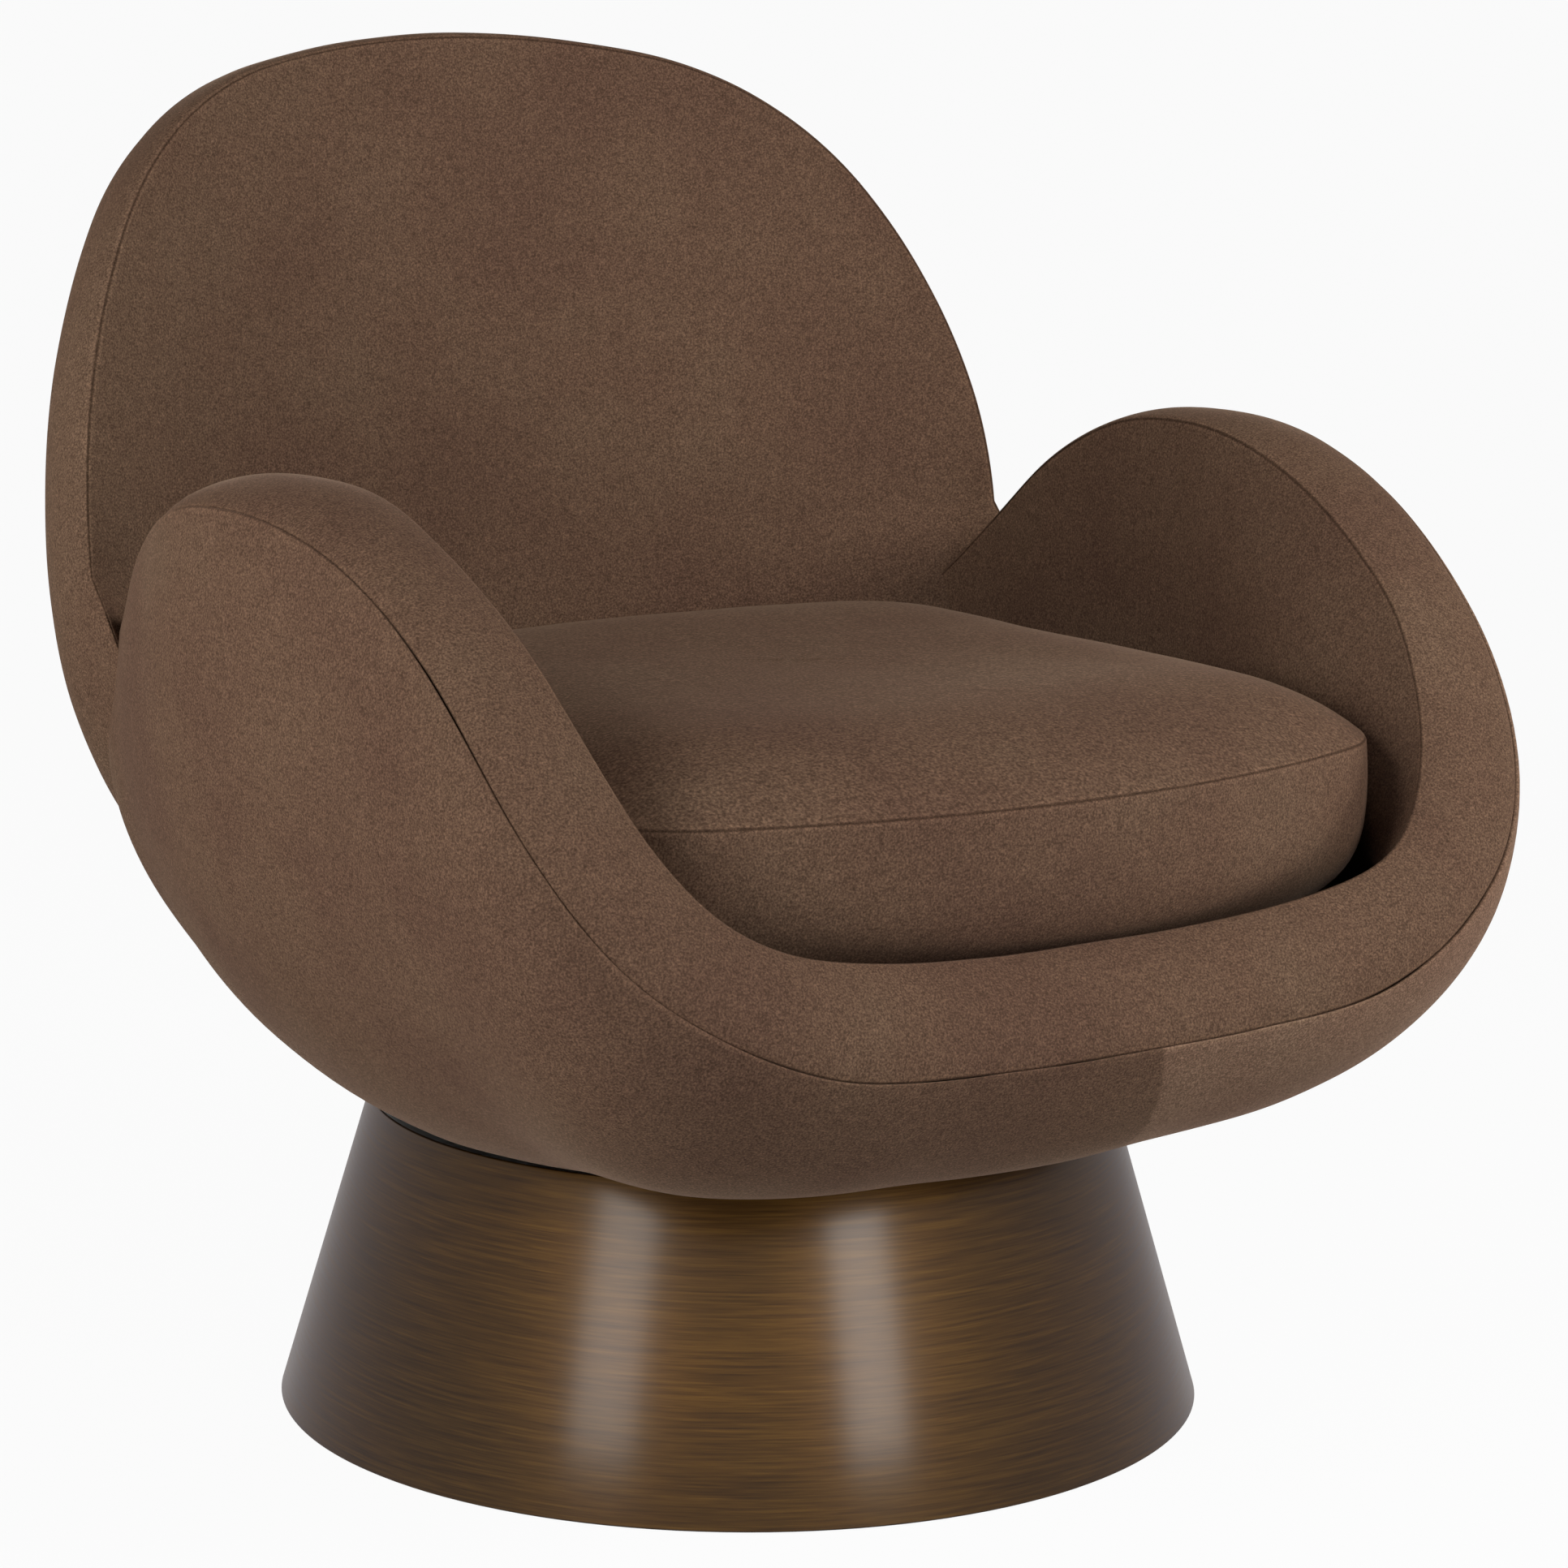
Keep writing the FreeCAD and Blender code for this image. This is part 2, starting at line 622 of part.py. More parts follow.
for x, y in square_corners(swivel_bolt_spacing):
    seat = FreeCAD.Vector(x, y, top_plate_top)
    sunk_head = Part.makeCone(swivel_bolt_radius, swivel_bolt_head_radius, swivel_plate_thickness, seat)
    sunk_hole = Part.makeCone(
        swivel_bolt_radius + fit_gap, swivel_bolt_head_radius + fit_gap, swivel_plate_thickness, seat)
    screw_end = top_plate_bottom - swivel_bolt_head_height
    plate_screws.append(sunk_head.fuse(disc(swivel_bolt_radius, screw_end, top_plate_top, x, y)))
    lower_plate = lower_plate.cut(sunk_hole)
    top_plate = top_plate.cut(disc(swivel_bolt_radius + fit_gap, top_plate_bottom, top_plate_top, x, y))
    bolt_hole = disc(swivel_bolt_radius + fit_gap, upper_plate_bottom, platform_top, x, y)
    upper_plate = upper_plate.cut(bolt_hole)
    platform = platform.cut(bolt_hole)
    bolt_shank = disc(swivel_bolt_radius, upper_plate_bottom + fit_gap, platform_top, x, y)
    plate_bolts.append(disc(swivel_bolt_head_radius, platform_top, bolt_head_top, x, y).fuse(bolt_shank))


def cross_rail(y):
    """Cross rail with its ends cut up under the curve of the bowl."""
    half = rail_length / 2
    corners = [
        (half - rail_end_taper, rail_bottom), (half, rail_top - rail_end_height), (half, rail_top),
        (-half, rail_top), (-half, rail_top - rail_end_height), (rail_end_taper - half, rail_bottom)]
    front = y - rail_width / 2
    points = [FreeCAD.Vector(x, front, z) for x, z in corners]
    profile = Part.makePolygon(points + points[:1])
    return Part.Face(profile).extrude(FreeCAD.Vector(0, rail_width, 0))


# Seat frame
rail_half = rail_spacing / 2
risers = []
for x in (-riser_spacing / 2, riser_spacing / 2):
    for y in (-rail_half, rail_half):
        risers.append(centred_box(riser_width, rail_width, platform_top, rail_bottom, x, y))
front_rail = cross_rail(-rail_half)
rear_rail = cross_rail(rail_half)
straps = []
for k in range(strap_count):
    x = (k - (strap_count - 1) / 2) * strap_pitch
    straps.append(centred_box(strap_width, rail_spacing + rail_width, rail_top, rail_top + strap_thickness, x))
lip_front = rim_reach * rim_stations[0][1]
board_front = -(lip_front - lip_board_setback)
board_rear = board_front + panel_thickness
board_top = rail_top - lip_board_drop
lip_board = box(
    -lip_board_length / 2, lip_board_length / 2, board_front, board_rear, board_top - lip_board_height, board_top)
struts = []
for x in (-strut_spacing / 2, strut_spacing / 2):
    strut_rear = -rail_half - rail_width / 2
    struts.append(box(x - strut_width / 2, x + strut_width / 2, board_rear, strut_rear, rail_bottom, board_top))


def arm_panel(side):
    """Plywood panel on the rail ends that stiffens one arm."""
    inner = rail_length / 2
    foot = rail_top - arm_panel_foot_drop
    top = arm_height - arm_panel_margin
    crest = -rail_half / 2
    half_foot = arm_panel_foot / 2
    shoulder = foot + (top - foot) * arm_panel_shoulder

    def point(y, z):
        return FreeCAD.Vector(side * inner, y, z)

    front = crest - arm_panel_reach
    rear = crest + arm_panel_reach
    edges = [
        Part.LineSegment(point(-half_foot, foot), point(half_foot, foot)).toShape(),
        Part.LineSegment(point(half_foot, foot), point(rear, shoulder)).toShape(),
        Part.Arc(point(rear, shoulder), point(crest, top), point(front, shoulder)).toShape(),
        Part.LineSegment(point(front, shoulder), point(-half_foot, foot)).toShape(),
    ]
    return Part.Face(Part.Wire(edges)).extrude(FreeCAD.Vector(side * panel_thickness, 0, 0))


left_arm_panel = arm_panel(-1)
right_arm_panel = arm_panel(1)

# Back
pad_full = back_pad(0)
pad_lined = back_pad(cover_thickness)
pad_filled = back_pad(cover_thickness + cover_gap)
pad_clear = back_place(back_pad(-cover_gap))
back_shell = pad_full.cut(pad_lined)
rear_seam = back_thickness - back_seam_depth
back_front_cover = back_place(back_shell.common(back_barrel(back_seam_depth)))
back_rear_cover = back_place(back_shell.cut(back_barrel(rear_seam)))
back_boxing = back_shell.common(back_barrel(rear_seam - seam_gap)).cut(back_barrel(back_seam_depth + seam_gap))
back_boxing = back_place(back_boxing)
panel_rear_depth = back_panel_depth + back_panel_thickness
back_panel = back_place(back_blank(back_panel_margin, back_panel_depth, panel_rear_depth))
panel_space = back_place(back_blank(
    back_panel_margin - fit_gap, back_panel_depth - fit_gap, panel_rear_depth + fit_gap))
bracket_stop = back_place(back_barrel(back_panel_depth - fit_gap))
bracket_front = rail_half + rail_width / 2
bolt_height = (rail_bottom + rail_top) / 2
lean_run = math.tan(math.radians(back_lean))
brackets = []
bracket_spaces = []
back_bolts = []
bolt_spaces = []
for x in (-bracket_spacing / 2, bracket_spacing / 2):
    long_bar = box(
        x - bracket_width / 2, x + bracket_width / 2, bracket_front, back_curve_radius, rail_bottom, rail_top)
    space = box(
        x - bracket_width / 2 - fit_gap, x + bracket_width / 2 + fit_gap,
        bracket_front, back_curve_radius, rail_bottom - fit_gap, rail_top + fit_gap)
    sag = back_curve_radius - math.sqrt(back_curve_radius**2 - x**2)
    face = back_front_depth + (bolt_height - back_centre_height) * lean_run + back_panel_depth - sag
    head_seat = face + back_panel_thickness * bolt_seat_share
    behind = FreeCAD.Vector(0, 1, 0)
    tip = FreeCAD.Vector(x, face - back_bolt_grip, bolt_height)
    seat = FreeCAD.Vector(x, head_seat, bolt_height)
    shank = Part.makeCylinder(back_bolt_radius, head_seat - face + back_bolt_grip, tip, behind)
    hole = Part.makeCylinder(back_bolt_radius + fit_gap, head_seat - face + back_bolt_grip, tip, behind)
    head = Part.makeCylinder(back_bolt_head_radius, back_bolt_head_height, seat, behind)
    pocket = Part.makeCylinder(back_bolt_head_radius + fit_gap, back_panel_thickness, seat, behind)
    brackets.append(long_bar.common(bracket_stop).cut(hole))
    bracket_spaces.append(space.common(bracket_stop))
    back_bolts.append(shank.fuse(head))
    bolt_spaces.append(pocket)
    back_panel = back_panel.cut(hole).cut(pocket)
back_front_cover = back_front_cover.cut(bracket_spaces)
back_foam = back_place(pad_filled).cut([panel_space] + bracket_spaces + bolt_spaces)

# Bowl
outer_cover = bowl_piece(BowlSection.outer_cover_wire, pad_clear)
band = bowl_piece(BowlSection.band_wire, pad_clear)
inner_cover = bowl_piece(BowlSection.inner_cover_wire, pad_clear)
foam = bowl_piece(lambda section: section.foam_wire(cover_thickness + cover_gap), pad_clear)
platform_space = disc(platform_radius + fit_gap, bowl_bottom, platform_top)
head_space = [disc(swivel_bolt_head_radius + fit_gap, platform_top, bolt_head_top, x, y)
              for x, y in square_corners(swivel_bolt_spacing)]
frame = risers + straps + struts + [front_rail, rear_rail, lip_board, left_arm_panel, right_arm_panel]
foam = foam.cut([platform_space] + head_space + frame + bracket_spaces)
deck_cloth = deck_sheet().cut(pad_clear)

# Cushion
cushion_fill = cover_thickness + cover_gap
cushion_core = cushion_body(cushion_fill).fuse(cushion_top(cushion_fill))
cushion_case = cushion_body(0).cut(cushion_body(cover_thickness))
bottom_seam = cushion_bottom + cushion_boxing * bottom_seam_share
cutter_side = 2 * (cushion_half_width + cushion_front + cushion_rear)
low_half = centred_box(cutter_side, cutter_side, 0, bottom_seam)
high_half = centred_box(cutter_side, cutter_side, bottom_seam + seam_gap, cushion_seam)
cushion_bottom_panel = cushion_case.common(low_half)
cushion_boxing_strip = cushion_case.common(high_half)
cushion_top_panel = cushion_top(0).cut(cushion_top(cover_thickness))
cushion_top_panel.translate(FreeCAD.Vector(0, 0, seam_gap))

pieces = {
    "base_skirt": [skirt],
    "base_felt_pad": [felt_pad],
    "base_bottom_plate": [bottom_plate],
    "base_ballast": [ballast],
    "base_posts": posts,
    "base_post_screws": post_screws,
    "base_top_plate": [top_plate],
    "swivel_lower_plate": [lower_plate],
    "swivel_plate_screws": plate_screws,
    "swivel_ball_cage": [cage],
    "swivel_balls": balls,
    "swivel_pivot_pin": [pivot_pin],
    "swivel_upper_plate": [upper_plate],
    "swivel_plate_bolts": plate_bolts,
    "seat_platform": [platform],
    "seat_riser_blocks": risers,
    "seat_front_rail": [front_rail],
    "seat_rear_rail": [rear_rail],
    "seat_webbing": straps,
    "left_arm_panel": [left_arm_panel],
    "right_arm_panel": [right_arm_panel],
    "lip_board": [lip_board],
    "lip_struts": struts,
    "back_panel": [back_panel],
    "back_brackets": brackets,
    "back_bolts": back_bolts,
    "bowl_foam": [foam],
    "bowl_outer_cover": [outer_cover],
    "bowl_band": [band],
    "bowl_inner_cover": [inner_cover],
    "bowl_deck_cloth": [deck_cloth],
    "back_foam": [back_foam],
    "back_front_cover": [back_front_cover],
    "back_boxing": [back_boxing],
    "back_rear_cover": [back_rear_cover],
    "cushion_core": [cushion_core],
    "cushion_top_panel": [cushion_top_panel],
    "cushion_boxing": [cushion_boxing_strip],
    "cushion_bottom_panel": [cushion_bottom_panel],
}
for name, shapes in pieces.items():
    save(name, shapes)
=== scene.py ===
import json
import math
import bmesh
import bpy
from mathutils import Matrix, Vector, noise


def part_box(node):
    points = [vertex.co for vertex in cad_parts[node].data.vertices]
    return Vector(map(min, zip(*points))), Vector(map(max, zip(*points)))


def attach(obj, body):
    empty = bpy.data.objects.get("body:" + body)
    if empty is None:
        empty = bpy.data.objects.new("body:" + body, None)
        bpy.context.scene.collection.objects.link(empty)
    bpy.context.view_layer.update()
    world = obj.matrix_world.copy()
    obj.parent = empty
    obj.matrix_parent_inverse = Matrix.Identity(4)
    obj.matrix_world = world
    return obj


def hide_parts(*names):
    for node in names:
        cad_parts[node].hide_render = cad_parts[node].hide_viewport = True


# Swivel lounge chair with a padded bowl, a dished oval back and a loose cushion on a bronze cone.
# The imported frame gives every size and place; metres, +Z up, the chair faces -Y.
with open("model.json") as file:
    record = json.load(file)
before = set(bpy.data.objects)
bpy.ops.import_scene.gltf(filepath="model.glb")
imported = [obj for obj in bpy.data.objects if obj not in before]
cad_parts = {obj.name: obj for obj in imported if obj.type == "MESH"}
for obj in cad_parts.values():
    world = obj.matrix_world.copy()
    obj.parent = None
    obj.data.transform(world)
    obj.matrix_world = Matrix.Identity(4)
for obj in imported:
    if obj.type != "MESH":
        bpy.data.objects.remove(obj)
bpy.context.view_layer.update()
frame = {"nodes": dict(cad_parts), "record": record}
record = frame["record"]


# Pedestal skirt
# Sheet metal rolled into a cone, its two edges turned, brushed around the axis and toned to dark bronze.
# It hides the posts and plates inside and stands on a felt disc.
skirt_low, skirt_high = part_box("base_skirt")
skirt_points = [v.co for v in frame["nodes"]["base_skirt"].data.vertices]


def skirt_reach(height):
    return max(math.hypot(p.x, p.y) for p in skirt_points if abs(p.z - height) < 0.001)


def new_piece(name, bm, body):
    """Turn a bmesh into a smooth piece at the origin that rides on a body."""
    mesh = bpy.data.meshes.new(name)
    bm.to_mesh(mesh)
    bm.free()
    for face in mesh.polygons:
        face.use_smooth = True
    piece = bpy.data.objects.new(name, mesh)
    bpy.context.scene.collection.objects.link(piece)
    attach(piece, body)
    return piece


def lathe(profile, steps):
    """Spin a closed (radius, height) profile around the swivel axis."""
    bm = bmesh.new()
    verts = [bm.verts.new((radius, 0, height)) for radius, height in profile]
    edges = [bm.edges.new((a, b)) for a, b in zip(verts, verts[1:] + verts[:1])]
    bmesh.ops.spin(bm, geom=verts + edges, cent=(0, 0, 0), axis=(0, 0, 1),
                   angle=2 * math.pi, steps=steps, use_merge=True)
    bmesh.ops.remove_doubles(bm, verts=bm.verts, dist=1e-6)
    bmesh.ops.recalc_face_normals(bm, faces=bm.faces)
    return bm


def shader(name):
    """Start a material and hand back its node tree, its main shader and its object coordinates."""
    material = bpy.data.materials.new(name)
    material.use_nodes = True
    tree = material.node_tree
    coords = tree.nodes.new("ShaderNodeTexCoord").outputs["Object"]
    return material, tree, tree.nodes["Principled BSDF"], coords


def grain(tree, coords, scale, detail=2.0, roughness=0.5):
    """Noise on object coordinates, stretched by a scale per axis."""
    mapping = tree.nodes.new("ShaderNodeMapping")
    mapping.inputs["Scale"].default_value = scale
    tree.links.new(coords, mapping.inputs["Vector"])
    texture = tree.nodes.new("ShaderNodeTexNoise")
    texture.inputs["Scale"].default_value = 1.0
    texture.inputs["Detail"].default_value = detail
    texture.inputs["Roughness"].default_value = roughness
    tree.links.new(mapping.outputs["Vector"], texture.inputs["Vector"])
    return texture.outputs["Fac"]


def tones(tree, factor, stops):
    """Colour ramp over a grain."""
    ramp = tree.nodes.new("ShaderNodeValToRGB")
    ramp.color_ramp.elements[0].position = stops[0][0]
    ramp.color_ramp.elements[0].color = (*stops[0][1], 1)
    ramp.color_ramp.elements[1].position = stops[-1][0]
    ramp.color_ramp.elements[1].color = (*stops[-1][1], 1)
    for position, colour in stops[1:-1]:
        ramp.color_ramp.elements.new(position).color = (*colour, 1)
    tree.links.new(factor, ramp.inputs["Fac"])
    return ramp.outputs["Color"]


def multiply_tones(tree, first, second):
    """One colour times another."""
    mix = tree.nodes.new("ShaderNodeMix")
    mix.data_type = "RGBA"
    mix.blend_type = "MULTIPLY"
    mix.inputs["Factor"].default_value = 1.0
    tree.links.new(first, mix.inputs["A"])
    tree.links.new(second, mix.inputs["B"])
    return mix.outputs["Result"]


def relief(tree, bsdf, height, strength, depth):
    """Bump from a grain."""
    bump = tree.nodes.new("ShaderNodeBump")
    bump.inputs["Strength"].default_value = strength
    bump.inputs["Distance"].default_value = depth
    tree.links.new(height, bump.inputs["Height"])
    tree.links.new(bump.outputs["Normal"], bsdf.inputs["Normal"])


bronze, tree, bsdf, coords = shader("brushed_bronze")
long_lines = grain(tree, coords, (16.0, 16.0, 620.0), 3.0, 0.6)
fine_lines = grain(tree, coords, (45.0, 45.0, 2400.0), 2.0, 0.5)
cloudy = grain(tree, coords, (5.0, 5.0, 9.0), 3.0, 0.5)
line_tone = tones(tree, long_lines, (
    (0.25, (0.026, 0.011, 0.002)), (0.50, (0.047, 0.021, 0.0035)), (0.75, (0.076, 0.036, 0.006))))
fine_tone = tones(tree, fine_lines, ((0.3, (0.80, 0.80, 0.80)), (0.7, (1.0, 1.0, 1.0))))
cloud_tone = tones(tree, cloudy, ((0.3, (0.80, 0.84, 0.92)), (0.7, (1.0, 0.98, 0.93))))
tone = multiply_tones(tree, line_tone, fine_tone)
tone = multiply_tones(tree, tone, cloud_tone)
tree.links.new(tone, bsdf.inputs["Base Color"])
rough = tree.nodes.new("ShaderNodeMapRange")
rough.inputs["To Min"].default_value = 0.44
rough.inputs["To Max"].default_value = 0.58
tree.links.new(long_lines, rough.inputs["Value"])
tree.links.new(rough.outputs["Result"], bsdf.inputs["Roughness"])
bsdf.inputs["Metallic"].default_value = 0.95
bsdf.inputs["Specular Tint"].default_value = (0.75, 0.70, 0.74, 1)
bsdf.inputs["Coat Weight"].default_value = 0.30
bsdf.inputs["Coat Roughness"].default_value = 0.21
relief(tree, bsdf, fine_lines, 0.12, 0.0002)

low_reach = skirt_reach(skirt_low.z)
high_reach = skirt_reach(skirt_high.z)
skirt_wall = 0.002
skirt_bm = lathe([
    (low_reach, skirt_low.z), (high_reach, skirt_high.z),
    (high_reach - skirt_wall, skirt_high.z), (low_reach - skirt_wall, skirt_low.z)], 240)
rims = [e for e in skirt_bm.edges if abs(e.verts[0].co.z - e.verts[1].co.z) < 1e-6]
bmesh.ops.bevel(skirt_bm, geom=rims, offset=0.0007, affect="EDGES", segments=3, profile=0.5, material=-1)
skirt = new_piece("pedestal_skirt", skirt_bm, "pedestal")
skirt.data.materials.append(bronze)
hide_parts("base_skirt")


# Pedestal core and swivel
# Plywood foot on felt, a cast weight, steel posts and plates, and a ball race under the seat.
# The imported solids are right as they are, so each only gets its own finish.
def core_material(name, scale, detail, dark, light, roughness, bump,
                  coarseness=0.5, spread=0.2, metallic=0.0):
    """Plain finish: a grain between two tones, also laid on as a bump of (strength, depth)."""
    material, tree, bsdf, coords = shader(name)
    figure = grain(tree, coords, scale, detail, coarseness)
    tone = tones(tree, figure, ((0.5 - spread, dark), (0.5 + spread, light)))
    tree.links.new(tone, bsdf.inputs["Base Color"])
    bsdf.inputs["Roughness"].default_value = roughness
    bsdf.inputs["Metallic"].default_value = metallic
    relief(tree, bsdf, figure, *bump)
    return material


steel = core_material(
    "zinc_plated_steel", (60.0, 60.0, 60.0), 3.0, (0.36, 0.36, 0.37), (0.58, 0.58, 0.57),
    roughness=0.38, bump=(0.08, 0.0003), metallic=1.0)
iron = core_material(
    "raw_cast_iron", (420.0, 420.0, 420.0), 4.0, (0.018, 0.017, 0.016), (0.055, 0.052, 0.050),
    roughness=0.75, bump=(0.5, 0.0008), coarseness=0.6, metallic=0.7)
plywood = core_material(
    "birch_plywood", (6.0, 90.0, 140.0), 4.0, (0.36, 0.23, 0.12), (0.58, 0.42, 0.25),
    roughness=0.7, bump=(0.15, 0.0004), coarseness=0.55)
felt = core_material(
    "black_felt", (900.0, 900.0, 900.0), 3.0, (0.010, 0.010, 0.010), (0.035, 0.034, 0.033),
    roughness=0.95, bump=(0.5, 0.0006), coarseness=0.7)
felt.node_tree.nodes["Principled BSDF"].inputs["Sheen Weight"].default_value = 0.2
nylon = core_material(
    "black_nylon", (250.0, 250.0, 250.0), 2.0, (0.012, 0.012, 0.013), (0.022, 0.022, 0.023),
    roughness=0.5, bump=(0.1, 0.0002))
webbing = core_material(
    "elastic_webbing", (700.0, 90.0, 90.0), 1.0, (0.06, 0.05, 0.04), (0.17, 0.14, 0.11),
    roughness=0.85, bump=(0.6, 0.0008), spread=0.15)

core_finish = {"steel": steel, "iron": iron, "board": plywood, "felt": felt, "plastic": nylon,
               "webbing": webbing, "lining": felt}
for entry in record["subparts"]:
    if entry["material_slot"] in core_finish:
        node = frame["nodes"][entry["node"]]
        node.data.materials.clear()
        node.data.materials.append(core_finish[entry["material_slot"]])


# Back pad
# Foam over a bent plywood panel, dished to a sitter's back, in a front, a boxing and a rear panel.
# Seams run round both faces; the lower sides come forward to the arms.
# The pad leans back and is bolted to two bars from the seat frame.
pad_curve = 0.700
pad_front = 0.273
pad_middle = 0.4865
pad_lean = math.radians(9.5)
pad_thickness = 0.078
pad_front_round = 0.016
pad_seam_turn = math.radians(48)
pad_rear_round = 0.052
pad_wing = 0.040
pad_wing_onset = 4
pad_outline = {"half_width": 0.341, "up": 0.328, "down": 0.258, "up_radius": 0.596, "down_radius": 0.559,
               "side_radius": 0.396, "corner": 0.225}
# Lengths along the pad's profile: front face, front edge, straight side, rear edge, rear face.
pad_face = 0.300
pad_front_arc = pad_front_round * (math.pi / 2 - pad_seam_turn)
pad_side = pad_thickness - pad_front_round * math.cos(pad_seam_turn) - pad_rear_round
pad_rear_arc = pad_rear_round * math.pi / 2
pad_side_end = pad_face + pad_front_arc + pad_side
pad_end = pad_side_end + pad_rear_arc + pad_face
pad_seams = (pad_face, pad_side_end + pad_rear_round * math.radians(66))


def quarter(half_width, reach, end_radius, side_radius, corner):
    """Tangent arcs (centre, radius, start, stop) from the side to the end of one quarter of an oval."""
    end_centre = Vector((0, reach - end_radius))
    side_centre = Vector((half_width - side_radius, 0))
    axis = side_centre - end_centre
    gap = axis.length
    axis = axis / gap
    to_end = end_radius - corner
    to_side = side_radius - corner
    along = (to_end ** 2 - to_side ** 2 + gap ** 2) / (2 * gap)
    across = math.sqrt(to_end ** 2 - along ** 2)
    centre = end_centre + axis * along + Vector((axis.y, -axis.x)) * across
    side_turn = math.atan2(centre.y - side_centre.y, centre.x - side_centre.x)
    end_turn = math.atan2(centre.y - end_centre.y, centre.x - end_centre.x)
    return [(side_centre, side_radius, 0.0, side_turn), (centre, corner, side_turn, end_turn),
            (end_centre, end_radius, end_turn, math.pi / 2)]


def oval_point(sizes, share):
    """Point and outward direction of an oval at a share of a full turn, from +X through the upper end."""
    step = (share % 1.0) * 4
    side = int(step)
    part = step - side
    upper = side < 2
    mirrored = side in (1, 2)
    if side in (1, 3):
        part = 1 - part
    arcs = quarter(sizes["half_width"], sizes["up" if upper else "down"],
                   sizes["up_radius" if upper else "down_radius"], sizes["side_radius"], sizes["corner"])
    left = part * sum(radius * (stop - start) for _, radius, start, stop in arcs)
    for centre, radius, start, stop in arcs:
        length = radius * (stop - start)
        if left <= length or stop == math.pi / 2:
            turn = start + left / radius
            break
        left -= length
    flip = Vector((-1 if mirrored else 1, 1 if upper else -1))
    normal = Vector((math.cos(turn), math.sin(turn)))
    return (centre + normal * radius) * flip, normal * flip


def sewn_grid(columns, stations, place, seams, outward):
    """Cloth skin: a grid bent into shape.

    stations are the rows' positions along the profile, seams those of the sewn lines,
    and outward gives the direction that a point of the skin should face.
    """
    bm = bmesh.new()
    bmesh.ops.create_grid(bm, x_segments=columns, y_segments=len(stations) - 1, size=1.0)
    distance = bm.verts.layers.float.new("seam_distance")
    rows = len(stations) - 1
    for vert in bm.verts:
        share = (vert.co.x + 1) / 2
        station = stations[round((vert.co.y + 1) / 2 * rows)]
        vert.co = place(share, station)
        vert[distance] = min((vert.co - place(share, seam)).length for seam in seams)
    bmesh.ops.remove_doubles(bm, verts=bm.verts, dist=2e-5)
    bmesh.ops.recalc_face_normals(bm, faces=bm.faces)
    bm.faces.ensure_lookup_table()
    side = max(bm.faces, key=lambda face: outward(face.calc_center_median()).dot(face.normal) ** 2)
    if outward(side.calc_center_median()).dot(side.normal) < 0:
        bmesh.ops.reverse_faces(bm, faces=bm.faces)
    return bm


def soften(bm, softness):
    """Give the padding under the cloth a slight unevenness: broad swells with small lumps on them."""
    elsewhere = Vector((3.0, 1.0, 7.0))
    bm.normal_update()
    moves = []
    for vert in bm.verts:
        broad = noise.noise(vert.co * 7.0)
        small = noise.noise(vert.co * 19.0 + elsewhere)
        moves.append(vert.normal * ((broad + 0.45 * small) * softness))
    for vert, move in zip(bm.verts, moves):
        vert.co += move
    return bm


def draw_seams(piece, width, depth):
    """Pull the settled cloth in along its seams."""
    mesh = piece.data
    distances = mesh.attributes["seam_distance"].data
    moves = [vert.normal * max(0.0, 1 - near.value / width) ** 2 * depth
             for vert, near in zip(mesh.vertices, distances)]
    for vert, move in zip(mesh.vertices, moves):
        vert.co -= move


seam_steps = (0.0007, 0.0015, 0.0028, 0.0050)


def even_rows(marks, step):
    """Row positions that meet every mark and crowd together near the seams among them."""
    rows = []
    for (start, dense_start), (stop, dense_stop) in zip(marks, marks[1:]):
        count = max(2, round((stop - start) / step))
        for k in range(count):
            rows.append(start + (stop - start) * k / count)
        for gap in seam_steps:
            if dense_start and gap < (stop - start) / 2:
                rows.append(start + gap)
            if dense_stop and gap < (stop - start) / 2:
                rows.append(stop - gap)
    rows.append(marks[-1][0])
    return sorted(rows)


def sewn_points(bm):
    """Numbers of the points that lie on a seam."""
    distance = bm.verts.layers.float["seam_distance"]
    bm.verts.index_update()
    return {vert.index for vert in bm.verts if vert[distance] < 1e-6}


def settle(piece, held, push, limit):
    """Let the cloth swell under its filling with the held points fixed, and keep the settled shape."""
    mesh = piece.data
    group = piece.vertex_groups.new(name="held")
    group.add(list(held), 1.0, "REPLACE")
    cloth = piece.modifiers.new("settle", "CLOTH")
    cloth.settings.quality = 4
    cloth.settings.mass = 0.4
    cloth.settings.tension_stiffness = 25
    cloth.settings.compression_stiffness = 25
    cloth.settings.shear_stiffness = 10
    cloth.settings.bending_stiffness = 4
    cloth.settings.use_pressure = True
    cloth.settings.uniform_pressure_force = push
    cloth.settings.vertex_group_mass = "held"
    cloth.settings.effector_weights.gravity = 0
    last_frame = 12
    cloth.point_cache.frame_end = last_frame
    for number in range(1, last_frame + 1):
        bpy.context.scene.frame_set(number)
    settled = piece.evaluated_get(bpy.context.evaluated_depsgraph_get()).to_mesh()
    moves = [after.co - before.co for before, after in zip(mesh.vertices, settled.vertices)]
    piece.modifiers.remove(cloth)
    piece.vertex_groups.remove(group)
    bpy.context.scene.frame_set(1)
    for vert, move in zip(mesh.vertices, moves):
        vert.co += move * (limit / (limit + move.length))


